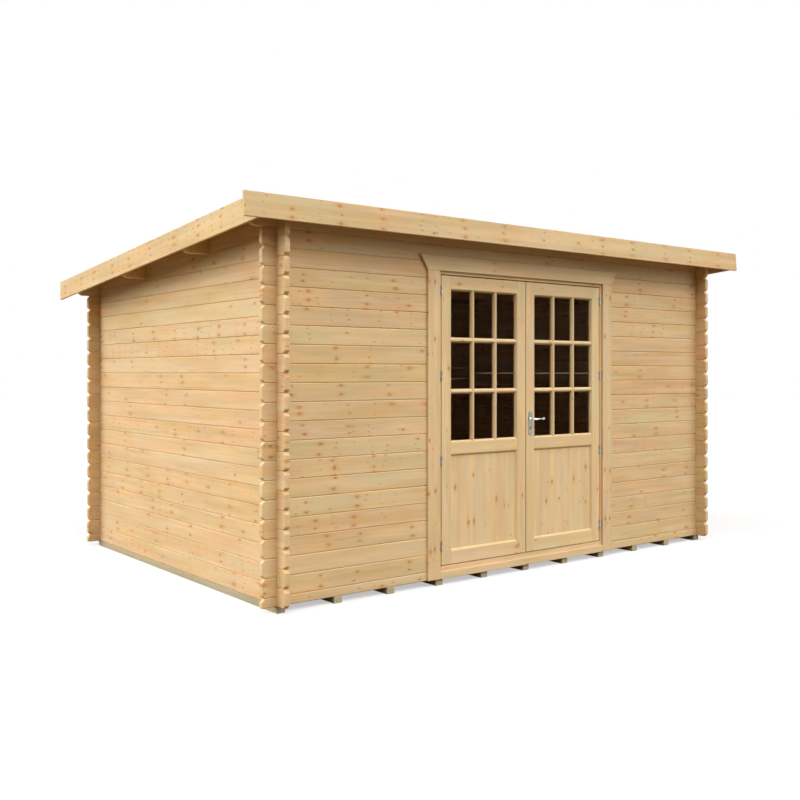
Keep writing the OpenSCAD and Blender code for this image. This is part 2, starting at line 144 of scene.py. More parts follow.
# boards joined into one mesh object that rides on a body and stands for CAD nodes: indices + points before
def build(name, boards, material, body, nodes=()):
    offsets = np.cumsum([0] + [len(b["verts"]) for b in boards])[:-1]
    verts = np.concatenate([b["verts"] for b in boards])
    loops = np.concatenate([b["loops"] + o for b, o in zip(boards, offsets)])
    sizes = np.concatenate([b["sizes"] for b in boards])
    smooth = np.concatenate([np.full(len(b["sizes"]), b["smooth"]) for b in boards])
    mesh = bpy.data.meshes.new(name)
    mesh.vertices.add(len(verts))
    mesh.vertices.foreach_set("co", verts.astype(np.float32).ravel())
    mesh.loops.add(len(loops))
    mesh.loops.foreach_set("vertex_index", loops.astype(np.int32))
    mesh.polygons.add(len(sizes))
    mesh.polygons.foreach_set("loop_start", (np.cumsum(sizes) - sizes).astype(np.int32))
    mesh.polygons.foreach_set("use_smooth", smooth)
    for key, kind, field in (("grain", "FLOAT_VECTOR", "vector"), ("tone", "FLOAT", "value")):
        values = np.concatenate([b[key] for b in boards]).astype(np.float32)
        mesh.attributes.new(key, kind, "POINT").data.foreach_set(field, values.ravel())
    mesh.update(calc_edges=True)
    mesh.validate()
    mesh.materials.append(material)
    piece = bpy.data.objects.new(name, mesh)
    bpy.context.scene.collection.objects.link(piece)
    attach(piece, body)
    if nodes:
        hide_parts(*nodes)


# a piece that stands still: it rides on the cabin and stands for one CAD node
def fixed(name, boards, material, node):
    build(name, boards, material, "cabin", [node])


# a carried-over CAD node gets a better material
def refinish(node, material):
    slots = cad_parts[node].data.materials
    slots.clear()
    slots.append(material)


# each corner of an outline replaced by three points: r back, r * 0.29 off along both sides, r on
def softened(outline, radius):
    points = np.asarray(outline, float)
    back = np.roll(points, 1, axis=0) - points
    on = np.roll(points, -1, axis=0) - points
    back /= np.linalg.norm(back, axis=1, keepdims=True)
    on /= np.linalg.norm(on, axis=1, keepdims=True)
    middle = points + 0.29 * radius * (back + on)
    return np.stack([points + radius * back, middle, points + radius * on], axis=1).reshape(-1, 2)


# an outline drawn in by an amount: point - (normal before + normal after) * amount / (1 + their product)
def drawnIn(outline, amount):
    on = np.roll(outline, -1, axis=0) - outline
    on /= np.linalg.norm(on, axis=1, keepdims=True)
    area = np.sum(outline[:, 0] * np.roll(outline[:, 1], -1) - outline[:, 1] * np.roll(outline[:, 0], -1))
    after = np.stack([-on[:, 1], on[:, 0]], axis=1) * np.sign(area)
    before = np.roll(after, 1, axis=0)
    share = 1 + np.sum(before * after, axis=1, keepdims=True)
    return outline + (before + after) * amount / np.maximum(share, 0.4)  # 0.4 limits a sharp corner


# an outline (first, second) carried along the third axis, its ends drawn in by the arris over that length
def bar(outline, start, end, arris, axes="xyz"):
    flat = softened(outline, arris)
    stops = [(start, arris), (start + arris, 0), (end - arris, 0), (end, arris)]
    rings = np.stack([
        np.concatenate([drawnIn(flat, pinch) if pinch else flat, np.full((len(flat), 1), at)], axis=1)
        for at, pinch in stops
    ])
    out = np.empty_like(rings)
    for k, axis in enumerate(axes):
        out[..., "xyz".index(axis)] = rings[..., k]
    return out


# the four corners of a box's section
def oblong(low1, low2, high1, high2):
    return [(low1, low2), (high1, low2), (high1, high2), (low1, high2)]


# a profile of (height, radius) turned about the z axis: x = r cos, y = r sin
def turned(profile, sides):
    profile = np.asarray(profile, float)
    angle = np.arange(sides) * 2 * math.pi / sides
    x = profile[:, 1:2] * np.cos(angle)
    y = profile[:, 1:2] * np.sin(angle)
    return np.stack([x, y, np.broadcast_to(profile[:, :1], x.shape)], axis=-1)


# an oval section carried along a path in the X-Z plane: path + normal * tall cos + y * deep sin
def swept(path, tall, deep, sides):
    along = np.gradient(path, axis=0)
    along /= np.linalg.norm(along, axis=1, keepdims=True)
    normal = np.stack([-along[:, 2], np.zeros(len(path)), along[:, 0]], axis=1)
    angle = np.arange(sides) * 2 * math.pi / sides
    rings = path[:, None] + normal[:, None] * (tall[:, None] * np.cos(angle))[..., None]
    rings[..., 1] += deep[:, None] * np.sin(angle)
    return rings


# a node with its settings and inputs: a socket is linked, anything else is set as the value
def addNode(tree, kind, settings=None, inputs=None):
    node = tree.nodes.new(kind)
    for key, value in (settings or {}).items():
        setattr(node, key, value)
    for key, value in (inputs or {}).items():
        if isinstance(value, bpy.types.NodeSocket):
            tree.links.new(value, node.inputs[key])
        else:
            node.inputs[key].default_value = value
    return node


# one calculation on two or three numbers
def calc(tree, operation, *values):
    return addNode(tree, "ShaderNodeMath", {"operation": operation}, dict(enumerate(values))).outputs[0]


# a + b
def plus(tree, a, b):
    return calc(tree, "ADD", a, b)


# a * b
def times(tree, a, b):
    return calc(tree, "MULTIPLY", a, b)


# a * b + c
def timesPlus(tree, a, b, c):
    return calc(tree, "MULTIPLY_ADD", a, b, c)


# a value moved from one span to another along a smooth step
def span(tree, value, low, high, toLow=0.0, toHigh=1.0):
    inputs = {"Value": value, "From Min": low, "From Max": high, "To Min": toLow, "To Max": toHigh}
    return addNode(tree, "ShaderNodeMapRange", {"interpolation_type": "SMOOTHSTEP"}, inputs).outputs["Result"]


# two colours mixed by a factor: a (1 - f) + b f, or a blend mode's own sum
def mixColor(tree, factor, a, b, mode="MIX", clamp=True):
    node = tree.nodes.new("ShaderNodeMix")
    node.data_type = "RGBA"
    node.blend_type = mode
    node.clamp_factor = clamp
    for key, value in ((0, factor), (6, a), (7, b)):
        if isinstance(value, bpy.types.NodeSocket):
            tree.links.new(value, node.inputs[key])
        else:
            node.inputs[key].default_value = value
    return node.outputs[2]


# noise of a vector stretched by a scale for each axis
def noise(tree, vector, scale, detail, rough=0.5):
    stretched = addNode(tree, "ShaderNodeVectorMath", {"operation": "MULTIPLY"}, {0: vector, 1: scale})
    inputs = {"Vector": stretched.outputs[0], "Scale": 1.0, "Detail": detail, "Roughness": rough}
    return addNode(tree, "ShaderNodeTexNoise", None, inputs)


# an empty shader group with its sockets
def newGroup(name, inputs, outputs):
    tree = bpy.data.node_groups.new(name, "ShaderNodeTree")
    for label, kind, value in inputs:
        socket = tree.interface.new_socket(name=label, in_out="INPUT", socket_type=kind)
        socket.default_value = value
    for label, kind in outputs:
        tree.interface.new_socket(name=label, in_out="OUTPUT", socket_type=kind)
    return tree, tree.nodes.new("NodeGroupInput"), tree.nodes.new("NodeGroupOutput")


# a group's results linked to its outputs by name
def giveOut(tree, result, **sockets):
    for label, socket in sockets.items():
        tree.links.new(socket, result.inputs[label])


knots = {
    "whorl": (0.345, 0.052, 0.42),  # spacing along and across a board, and how closely they keep to rows
    "pin": (0.125, 0.034, 0.15),  # the same for pin knots
    "pinSize": 0.46,  # of a knot's size
    "smallest": 0.45,  # of the largest
    "stretch": 1.45,  # length to width
    "margin": (0.25, 0.32),  # kept free at the edges of a cell, along and across
    "rowShare": 0.6,  # how much of its chance a knot shares with its row
    "edge": (1.12, 0.82),  # where it fades out and where it is whole, in radii
    "halo": (-0.20, -0.70),  # how fast its halo fades along and across
}
rowSeed = (7.7, 57.0)  # any two numbers: they give each row and each board knots of its own


# knots on a grid, one to a cell: (along, across) from its middle / (radius * stretch, radius), kept by chance
def knotGrid(tree, grain, tone, size, likely, spacing):
    long, wide, whorl = spacing
    marginAlong, marginAcross = knots["margin"]
    parts = addNode(tree, "ShaderNodeSeparateXYZ", None, {0: grain}).outputs
    along, across = calc(tree, "DIVIDE", parts[0], long), calc(tree, "DIVIDE", parts[1], wide)
    cellAlong, cellAcross = calc(tree, "FLOOR", along), calc(tree, "FLOOR", across)
    seed = times(tree, tone, rowSeed[1])
    cell = addNode(tree, "ShaderNodeCombineXYZ", None, {0: cellAlong, 1: cellAcross, 2: seed}).outputs[0]
    row = addNode(tree, "ShaderNodeCombineXYZ", None, {0: cellAlong, 1: rowSeed[0], 2: seed}).outputs[0]
    own = addNode(tree, "ShaderNodeTexWhiteNoise", {"noise_dimensions": "3D"}, {"Vector": cell}).outputs
    shared = addNode(tree, "ShaderNodeTexWhiteNoise", {"noise_dimensions": "3D"}, {"Vector": row}).outputs
    chances = addNode(tree, "ShaderNodeSeparateColor", None, {0: own["Color"]}).outputs
    # the knots of one row stand close to a line across the board
    shift = timesPlus(tree, shared["Value"], whorl, times(tree, chances[0], 1 - 2 * marginAlong - whorl))
    middleAlong = plus(tree, plus(tree, cellAlong, marginAlong), shift)
    aside = times(tree, chances[1], 1 - 2 * marginAcross)
    middleAcross = plus(tree, plus(tree, cellAcross, marginAcross), aside)
    radius = times(tree, size, timesPlus(tree, chances[2], 1 - knots["smallest"], knots["smallest"]))
    u = calc(tree, "DIVIDE", times(tree, calc(tree, "SUBTRACT", along, middleAlong), long),
             times(tree, radius, knots["stretch"]))
    v = calc(tree, "DIVIDE", times(tree, calc(tree, "SUBTRACT", across, middleAcross), wide), radius)
    away = calc(tree, "SQRT", timesPlus(tree, u, u, times(tree, v, v)))
    rowShare = knots["rowShare"]
    both = timesPlus(tree, shared["Value"], rowShare, times(tree, own["Value"], 1 - rowShare))
    present = calc(tree, "LESS_THAN", both, likely)
    knot = times(tree, present, span(tree, away, *knots["edge"]))
    flame = plus(tree, times(tree, times(tree, u, u), knots["halo"][0]),
                 times(tree, times(tree, v, v), knots["halo"][1]))
    halo = times(tree, present, calc(tree, "EXPONENT", flame))
    return knot, halo, away, chances, radius


timber = {
    "year": 0.0031,  # one year's growth
    "wander": 0.024,  # how far the rings stray from straight
    "bend": 1.2,  # how far they bend round a knot, in its radii
    "wobble": (0.012, 0.007, 0.0),  # how uneven the knots' outlines are
    # noise: stretch along, across and through a board, detail, roughness, and the span of it that counts
    "streak": ((0.5, 24, 24), 3.0, 0.6, 0.34, 0.68),
    "cloud": ((1.6, 11, 11), 2.0, 0.5, 0.36, 0.66),
    "blush": ((2.3, 16, 16), 2.0, 0.5, 0.32, 0.68),
    # share of the honey colour in late wood, clouds, the board's own tone, and round knots and pin knots
    "late": 0.30,
    "clouds": 0.34,
    "own": 0.34,
    "round": (0.50, 0.25),
    "mostHoney": 1.6,
    # tints that the colour is multiplied by
    "warm": (1.055, 1.015, 0.97, 1),
    "cool": (0.95, 0.99, 1.03, 1),
    "rosy": (1.02, 0.962, 1.015, 1),
    "green": (0.98, 1.038, 0.985, 1),
    "amber": (1.0, 0.80, 0.60, 1),  # round the knots
    "amberShare": (0.55, 0.35),
    "heart": (0.66, 0.30, 0.115, 1),  # lighter middle of a knot
    "strength": (0.66, 0.64),  # of the faintest knot and pin knot
}


# another random number from a board's tone: the fraction of tone * factor
def another(tree, tone, factor):
    return calc(tree, "FRACT", times(tree, tone, factor))


# a soft pattern on a board: noise of the stretched grain, moved to 0..1 over its span
def pattern(tree, grain, stretch, detail, rough, low, high):
    return span(tree, noise(tree, grain, stretch, detail, rough).outputs["Fac"], low, high)


# spruce sawn from a log: rings = distance from the pith / year, swayed along the board and bent round knots
def spruceGroup():
    tree, given, result = newGroup(
        "spruce",
        [
            ("Grain", "NodeSocketVector", (0, 0, 0)),
            ("Tone", "NodeSocketFloat", 0.5),
            ("Pale", "NodeSocketColor", (0.8, 0.6, 0.35, 1)),
            ("Honey", "NodeSocketColor", (0.7, 0.47, 0.24, 1)),
            ("Knot Color", "NodeSocketColor", (0.3, 0.12, 0.04, 1)),
            ("Knots", "NodeSocketFloat", 0.5),
            ("Knot Size", "NodeSocketFloat", 0.01),
            ("Streaks", "NodeSocketFloat", 0.5),
            ("Board Spread", "NodeSocketFloat", 1.0),
        ],
        [("Color", "NodeSocketColor"), ("Roughness", "NodeSocketFloat"), ("Height", "NodeSocketFloat")],
    )
    grain, tone = given.outputs["Grain"], given.outputs["Tone"]
    often, spread = given.outputs["Knots"], given.outputs["Board Spread"]
    parts = addNode(tree, "ShaderNodeSeparateXYZ", None, {0: grain}).outputs
    wobble = noise(tree, grain, (22, 90, 90), 2.0).outputs["Color"]
    shifted = addNode(tree, "ShaderNodeVectorMath", {"operation": "MULTIPLY_ADD"},
                      {0: wobble, 1: timber["wobble"], 2: grain}).outputs[0]
    # two knot layers: whorls some 0.35 m apart, and pin knots that only some boards have
    likely = timesPlus(tree, another(tree, tone, 13.7), 0.55, 0.30)  # a board's own share of knots
    likely = times(tree, often, likely)
    size = given.outputs["Knot Size"]
    knotA, haloA, awayA, chanceA, radiusA = knotGrid(tree, shifted, tone, size, likely, knots["whorl"])
    likely = span(tree, another(tree, tone, 29.3), 0.25, 1.0, 0.06, 0.62)
    likely = times(tree, often, likely)
    size = times(tree, size, knots["pinSize"])
    knotB, haloB, awayB, chanceB, _ = knotGrid(tree, shifted, tone, size, likely, knots["pin"])
    bend = times(tree, haloA, times(tree, radiusA, timber["bend"]))
    # years: the wood darkens slowly through each and ends sharply
    sway = noise(tree, grain, (0.8, 7, 7), 2.0).outputs["Fac"]
    rho = calc(tree, "SQRT", plus(tree, times(tree, parts[1], parts[1]), times(tree, parts[2], parts[2])))
    rho = plus(tree, timesPlus(tree, sway, timber["wander"], rho), bend)
    years = calc(tree, "FRACT", calc(tree, "DIVIDE", rho, timber["year"]))
    late = times(tree, span(tree, years, 0.25, 0.93), span(tree, years, 1.0, 0.95))
    streak, cloud, blush = (pattern(tree, grain, *timber[key]) for key in ("streak", "cloud", "blush"))
    # rosy or green: half from soft noise, half the board's own
    rosy = noise(tree, grain, (1.3, 7, 7), 2.0).outputs["Color"]
    rosy = addNode(tree, "ShaderNodeSeparateColor", None, {0: rosy}).outputs[1]
    rosy = span(tree, rosy, 0.35, 0.65, 0.0, 0.5)
    own = calc(tree, "SUBTRACT", another(tree, tone, 41.9), 0.5)
    rosy = timesPlus(tree, timesPlus(tree, own, spread, 0.5), 0.5, rosy)
    fibre = noise(tree, grain, (9, 900, 900), 2.0, 0.6).outputs["Fac"]
    # how far from pale to honey: late wood, streaks, clouds, the halos of knots and the board's own tone
    share = timesPlus(tree, late, timber["late"], times(tree, streak, given.outputs["Streaks"]))
    share = timesPlus(tree, cloud, timber["clouds"], share)
    share = timesPlus(tree, times(tree, calc(tree, "SUBTRACT", tone, 0.5), spread), timber["own"], share)
    share = timesPlus(tree, haloA, timber["round"][0], share)
    share = timesPlus(tree, haloB, timber["round"][1], share)
    share = addNode(tree, "ShaderNodeClamp", None, {0: share, 1: 0.0, 2: timber["mostHoney"]}).outputs[0]
    color = mixColor(tree, share, given.outputs["Pale"], given.outputs["Honey"], clamp=False)
    for amount, more, less in ((blush, "warm", "cool"), (rosy, "rosy", "green")):
        color = mixColor(tree, amount, color, timber[more], "MULTIPLY")
        color = mixColor(tree, calc(tree, "SUBTRACT", 1.0, amount), color, timber[less], "MULTIPLY")
    glow = timesPlus(tree, haloA, timber["amberShare"][0], times(tree, haloB, timber["amberShare"][1]))
    color = mixColor(tree, glow, color, timber["amber"], "MULTIPLY")
    # knots: darker rings round their own middle, each its own strength
    layers = zip((knotA, knotB), (awayA, awayB), (chanceA, chanceB), timber["strength"])
    for knot, away, chances, least in layers:
        eye = timesPlus(tree, chances[1], 3.0, 1.5)  # how many rings
        eye = calc(tree, "FRACT", times(tree, away, eye))
        eye = timesPlus(tree, eye, 0.28, timesPlus(tree, chances[2], 0.50, 0.22))
        core = mixColor(tree, eye, given.outputs["Knot Color"], timber["heart"])
        color = mixColor(tree, times(tree, knot, timesPlus(tree, chances[0], 0.35, least)), color, core)
    # each board a little lighter or darker, and its fibres too
    shade = times(tree, timesPlus(tree, tone, 0.05, 0.975), timesPlus(tree, fibre, 0.10, 0.95))
    grey = addNode(tree, "ShaderNodeCombineColor", None, {0: shade, 1: shade, 2: shade}).outputs[0]
    color = mixColor(tree, 1.0, color, grey, "MULTIPLY")
    # knots and late wood are harder: smoother, and proud of the rest
    knot = calc(tree, "MAXIMUM", knotA, knotB)
    rough = timesPlus(tree, knot, -0.16, timesPlus(tree, late, -0.10, 0.66))
    height = timesPlus(tree, late, 0.45, times(tree, fibre, 0.45))
    height = timesPlus(tree, knot, 0.6, height)
    giveOut(tree, result, Color=color, Roughness=rough, Height=height)
    return tree


# saw marks: bands across the length, sin of length / spacing swayed by noise, broken up by noise
def sawGroup():
    tree, given, result = newGroup(
        "sawMarks",
        [("Grain", "NodeSocketVector", (0, 0, 0)), ("Spacing", "NodeSocketFloat", 0.004)],
        [("Height", "NodeSocketFloat"), ("Fuzz", "NodeSocketFloat")],
    )
    grain = given.outputs["Grain"]
    parts = addNode(tree, "ShaderNodeSeparateXYZ", None, {0: grain}).outputs
    sway = noise(tree, grain, (20, 30, 30), 2.0).outputs["Fac"]
    turns = plus(tree, calc(tree, "DIVIDE", parts[0], given.outputs["Spacing"]), times(tree, sway, 3.0))
    fullTurn = 6.283  # radians
    wave = timesPlus(tree, calc(tree, "SINE", times(tree, turns, fullTurn)), 0.5, 0.5)
    fuzz = noise(tree, grain, (120, 700, 700), 3.0, 0.7).outputs["Fac"]
    giveOut(tree, result, Height=timesPlus(tree, wave, 0.5, fuzz), Fuzz=fuzz)
    return tree


# metal: fine lines along one axis and soft clouds, both noise of the object's coordinates
def metalGroup():
    tree, given, result = newGroup(
        "satinMetal",
        [("Lines", "NodeSocketVector", (3000, 3000, 200)), ("Clouds", "NodeSocketFloat", 60.0)],
        [("Mask", "NodeSocketFloat"), ("Roughness", "NodeSocketFloat"), ("Height", "NodeSocketFloat")],
    )
    where = addNode(tree, "ShaderNodeTexCoord").outputs["Object"]
    lines = noise(tree, where, given.outputs["Lines"], 2.0).outputs["Fac"]
    inputs = {"Vector": where, "Scale": given.outputs["Clouds"], "Detail": 3.0}
    clouds = addNode(tree, "ShaderNodeTexNoise", None, inputs).outputs["Fac"]
    mask = span(tree, clouds, 0.35, 0.68)
    rough = timesPlus(tree, lines, 0.12, timesPlus(tree, mask, 0.12, 0.24))
    giveOut(tree, result, Mask=mask, Roughness=rough, Height=lines)
    return tree


spruce = spruceGroup()
sawMarks = sawGroup()
satinMetal = metalGroup()
print("shader groups made")


# a new material with its node tree, its shader and a node of the given group
def startMaterial(name, group=None):
    material = bpy.data.materials.new(name)
    material.use_nodes = True
    tree = material.node_tree
    used = addNode(tree, "ShaderNodeGroup", {"node_tree": group}) if group else None
    return material, tree, tree.nodes["Principled BSDF"], used


# relief on a surface: a bump node turns a height into the shader's normal
def addRelief(tree, shader, height, strength, distance):
    inputs = {"Strength": strength, "Distance": distance, "Height": height}
    bump = addNode(tree, "ShaderNodeBump", None, inputs)
    tree.links.new(bump.outputs["Normal"], shader.inputs["Normal"])


# bare spruce: colour, roughness and relief from the spruce group, read by the boards' grain and tone
def woodMaterial(name, look):
    material, tree, shader, wood = startMaterial(name, spruce)
    grain = addNode(tree, "ShaderNodeAttribute", {"attribute_name": "grain"}).outputs["Vector"]
    tone = addNode(tree, "ShaderNodeAttribute", {"attribute_name": "tone"}).outputs["Fac"]
    tree.links.new(grain, wood.inputs["Grain"])
    tree.links.new(tone, wood.inputs["Tone"])
    for label in ("Pale", "Honey", "Knot Color", "Knots", "Knot Size", "Streaks", "Board Spread"):
        wood.inputs[label].default_value = look[label]
    color, height = wood.outputs["Color"], wood.outputs["Height"]
    if look.get("sawn"):
        saw = addNode(tree, "ShaderNodeGroup", {"node_tree": sawMarks}, {"Grain": grain}).outputs
        height = timesPlus(tree, saw["Height"], look["sawn"], height)
        color = mixColor(tree, times(tree, saw["Fuzz"], look["dusty"]), color, look["Dust"])
    tree.links.new(color, shader.inputs["Base Color"])
    tree.links.new(wood.outputs["Roughness"], shader.inputs["Roughness"])
    addRelief(tree, shader, height, look["relief"], look["deep"])
    shader.inputs["Specular IOR Level"].default_value = look["shine"]
    return material


# steel: base colour by the clouds, roughness and relief from the metal group
def steelMaterial(name, dull, bright, lines, clouds):
    material, tree, shader, metal = startMaterial(name, satinMetal)
    metal.inputs["Lines"].default_value = lines
    metal.inputs["Clouds"].default_value = clouds
    color = mixColor(tree, metal.outputs["Mask"], dull, bright)
    tree.links.new(color, shader.inputs["Base Color"])
    tree.links.new(metal.outputs["Roughness"], shader.inputs["Roughness"])
    addRelief(tree, shader, metal.outputs["Height"], 0.12, 0.0001)
    shader.inputs["Metallic"].default_value = 1.0
    return material


# clear glass with faint smears that change its roughness: noise of the object's coordinates
def glassMaterial(name, look):
    material, tree, shader = startMaterial(name)[:3]
    where = addNode(tree, "ShaderNodeTexCoord").outputs["Object"]
    smear = noise(tree, where, (3, 3, 5), 3.0).outputs["Fac"]
    tree.links.new(span(tree, smear, 0.45, 0.8, 0.0, look["smear"]), shader.inputs["Roughness"])
    shader.inputs["Base Color"].default_value = look["tint"]
    shader.inputs["IOR"].default_value = look["ior"]
    shader.inputs["Transmission Weight"].default_value = 1.0
    return material


looks = {
    "Pale": (0.815, 0.610, 0.350, 1),
    "Honey": (0.685, 0.435, 0.198, 1),
    "Knot Color": (0.36, 0.115, 0.035, 1),
    "Knots": 0.9,
    "Knot Size": 0.0120,
    "Streaks": 0.36,
    "Board Spread": 1.0,  # how far the boards differ from each other
    "relief": 0.5,
    "deep": 0.0006,
    "shine": 0.12,
}
logWood = woodMaterial("logWood", looks)
fasciaWood = woodMaterial("fasciaWood", {**looks, "Knots": 1.6, "Knot Size": 0.0115})
frameWood = woodMaterial("frameWood", {**looks, "Knots": 0.35, "Knot Size": 0.010})
paler = {**looks, "Pale": (0.85, 0.65, 0.375, 1), "Honey": (0.74, 0.49, 0.235, 1), "Board Spread": 0.4}
trimWood = woodMaterial("trimWood", {
    **paler, "Pale": (0.835, 0.635, 0.372, 1), "Knots": 0.7, "Knot Size": 0.012,
})
doorWood = woodMaterial("doorWood", {**paler, "Knots": 0.5, "Knot Size": 0.011, "Streaks": 0.25})
panelWood = woodMaterial("panelWood", {**paler, "Knots": 0.85, "Knot Size": 0.013, "Streaks": 0.22})
# a darker copy of the wood: painted shade that keeps the roof's top, which the lamps light most, from going
# white; it darkens the underside of the eaves too
shadedRoofWood = woodMaterial("shadedRoofWood", {
    **looks, "Pale": (0.59, 0.438, 0.255, 1), "Honey": (0.493, 0.314, 0.143, 1), "Knot Size": 0.014,
})
floorWood = woodMaterial("floorWood", {**looks, "Knots": 0.8, "Knot Size": 0.014})
bearerWood = woodMaterial("bearerWood", {
    **looks, "Pale": (0.56, 0.47, 0.29, 1), "Honey": (0.42, 0.325, 0.185, 1),
    "Knot Color": (0.10, 0.06, 0.03, 1), "Knots": 0.6, "Streaks": 0.6, "relief": 0.9,
    "sawn": 1.2, "dusty": 0.5, "Dust": (0.55, 0.50, 0.35, 1),
})
steels = {
    # colour where dull and where bright, how fine the lines are along each axis, and the clouds
    "hingeSteel": ((0.28, 0.29, 0.26, 1), (0.42, 0.43, 0.39, 1), (900, 900, 900), 120.0),
    "handleSteel": ((0.62, 0.63, 0.60, 1), (0.80, 0.80, 0.77, 1), (2500, 2500, 150), 40.0),
    "plateSteel": ((0.18, 0.18, 0.15, 1), (0.27, 0.275, 0.225, 1), (2500, 2500, 150), 90.0),
    # the last is near-black: painted shade for the dark inside of the keyholes, not a real steel colour
    "keyholeShadeSteel": ((0.008, 0.008, 0.007, 1), (0.02, 0.02, 0.018, 1), (2500, 2500, 150), 300.0),
}
hingeSteel, handleSteel, plateSteel, keyholeShadeSteel = (steelMaterial(name, *look) for name, look in steels.items())
paneGlass = glassMaterial("clearGlass", {"tint": (0.94, 0.90, 0.86, 1), "ior": 1.04, "smear": 0.03})
print("materials made")


logs = {
    "bevel": 0.0048,  # along the long edges
    "arris": 0.0015,  # round the ends
    "chamfer": 0.019,  # on the upper and lower corner of an end
    "foot": 0.001,  # the ends of the lowest half log stand this far up
    "notchGap": 0.0003,
    "crease": 0.0005,  # run in which a log's upper edge bends to the roof line
    "feather": 0.006,  # thinnest edge left where the roof cuts a log
    "shortest": 0.03,  # shortest length kept beside a purlin
    "proud": 0.02,  # most that a top log reaches above its course
    "round": 0.046,  # lower corner at the end of a top log or purlin
}
step = 0.0002  # half the run in which an edge steps up or down
gap = joint / 2
course = cabin["course"]
crossHalf = -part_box("front_wall_left")[0].x
sideHalf = (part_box("left_wall")[1].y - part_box("left_wall")[0].y) / 2
doorHalf = -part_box("front_wall_left")[1].x
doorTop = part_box("frame_head")[1].z - wallZ + joint
doorCourse = int(doorTop / course + 0.5)


# sections of a log where its edges bend: 8 corners at near, far, low(u) and high(u), cut off by the bevel
def logRings(lower, upper, start, end, near, far, lean=0.0, cut=None, extra=()):
    arris = logs["arris"]
    at = np.concatenate([lower[0], upper[0], extra, [start, start + arris, end - arris, end]])
    at = np.unique(np.round(at[(at >= start) & (at <= end)], 6))
    low = np.interp(at, *lower)
    high = np.interp(at, *upper)
    if cut is not None:
        high = np.minimum(high, cut(at))
    pinch = np.where((at <= start + 1e-6) | (at >= end - 1e-6), arris, 0.0)
    bevel = np.minimum(logs["bevel"], (high - low) * 0.3)
    low, high = low + pinch, high - pinch
    a, b = near + pinch, far - pinch
    top = high + lean
    section = [(a + bevel, low), (b - bevel, low), (b, low + bevel), (b, top - bevel),
               (b - bevel, top), (a + bevel, high), (a, high - bevel), (a, low + bevel)]
    return np.stack([np.stack([at, y, z], axis=-1) for y, z in section], axis=1)


# an edge (u, z) with steps added: z goes from one height to another between at - step and at + step
def stepped(edge, steps):
    u = np.concatenate([edge[0]] + [[at - step, at + step] for at, before, after in steps])
    z = np.concatenate([edge[1]] + [[before, after] for at, before, after in steps])
    order = np.argsort(u)
    return u[order], z[order]


# edges of a notched log: low or high, stepping by a quarter course at the notches, chamfered at its ends
def logEdges(middle, half, notchAt, low, high, notchLow=True, notchHigh=True):
    w = logThick / 2 + logs["notchGap"]
    c = logs["chamfer"]
    right = [notchAt - w - step, notchAt - w + step, notchAt + w - step, notchAt + w + step, half - c, half]
    u = middle + np.array([-v for v in right[::-1]] + right)
    stepLow = course / 4 if notchLow else 0.0
    stepHigh = course / 4 if notchHigh else 0.0
    lift = np.array([0, stepLow, stepLow, 0, 0, c])
    drop = np.array([0, stepHigh, stepHigh, 0, 0, c])
    lower = (u, low + np.concatenate([lift[::-1], lift]))
    upper = (u, high - np.concatenate([drop[::-1], drop]))
    return lower, upper


# the X logs of one wall between two courses: course k spans (k - 0.5) to (k + 0.5) course heights
def crossLogs(first, last, near, start, end, top=None):
    made = []
    for k in range(first, last):
        low = max((k - 0.5) * course + gap, gap)
        high = (k + 0.5) * course - gap
        lower, upper = logEdges(0.0, crossHalf, sideX - logThick / 2, low, high, notchLow=k > 0)
        lower = (lower[0], np.maximum(lower[1], low))
        if k == 0:
            atEnd = np.abs(lower[0]) >= crossHalf - 1e-6
            lower = (lower[0], np.where(atEnd, low + logs["foot"], low))
        if top and low < top < high:
            lower = stepped(lower, [(-doorHalf, low, top), (doorHalf, top, low)])
        made.append(board(logRings(lower, upper, start, end, near, near + logThick), "xzy"))
    return made


walls = [
    ("logsFrontLeft", "front_wall_left", crossLogs(0, doorCourse, 0.0, -crossHalf, -doorHalf)),
    ("logsFrontRight", "front_wall_right", crossLogs(0, doorCourse, 0.0, doorHalf, crossHalf)),
    ("logsFrontTop", "front_wall_top", crossLogs(doorCourse, frontLogs, 0.0, -crossHalf, crossHalf, doorTop)),
    ("logsBack", "back_wall", crossLogs(0, backLogs, depth - logThick, -crossHalf, crossHalf)),
]
for name, node, made in walls:
    fixed(name, made, logWood, node)


# lower edge of a beam whose end corners are quarter rounds: z + R - sqrt(R^2 - (u - half + R)^2)
def roundedEdge(half, low, notchAt=()):
    r = logs["round"]
    t = np.linspace(0, math.pi / 2, 9)
    out = half - r + r * np.sin(t)
    rise = low + r - r * np.cos(t)
    edge = np.concatenate([-out[::-1], out]), np.concatenate([rise[::-1], rise])
    w, up = logThick / 2 + logs["notchGap"], low + course / 4
    return stepped(edge, [s for at in notchAt for s in ((at - w, low, up), (at + w, up, low))])


# the top log of the front or back wall, its upper face cut to the slope across its thickness
def topLog(k, near, node, name):
    low = (k - 0.5) * course + gap
    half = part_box(node)[1].x
    crossing = sideX - logThick / 2
    lower = roundedEdge(half, low, (-crossing, crossing))
    high = min(float(roofLine(near)) - joint, (k + 0.5) * course + logs["proud"])
    upper = (np.array([-half, half]), np.array([high, high]))
    rings = logRings(lower, upper, -half, half, near, near + logThick, -logThick * math.tan(slope))
    fixed(name, [board(rings, "xzy")], logWood, node)


# one purlin: a beam with rounded lower ends, its upper face on the roof line less the joint
def purlin(node, name):
    low, high = wallBox(node)
    lower = roundedEdge(high[0], low[2])
    top = float(roofLine(low[1])) - joint
    upper = (np.array([low[0], high[0]]), np.array([top, top]))
    lean = -(high[1] - low[1]) * math.tan(slope)
    rings = logRings(lower, upper, low[0], high[0], low[1], high[1], lean)
    fixed(name, [board(rings, "xzy")], logWood, node)


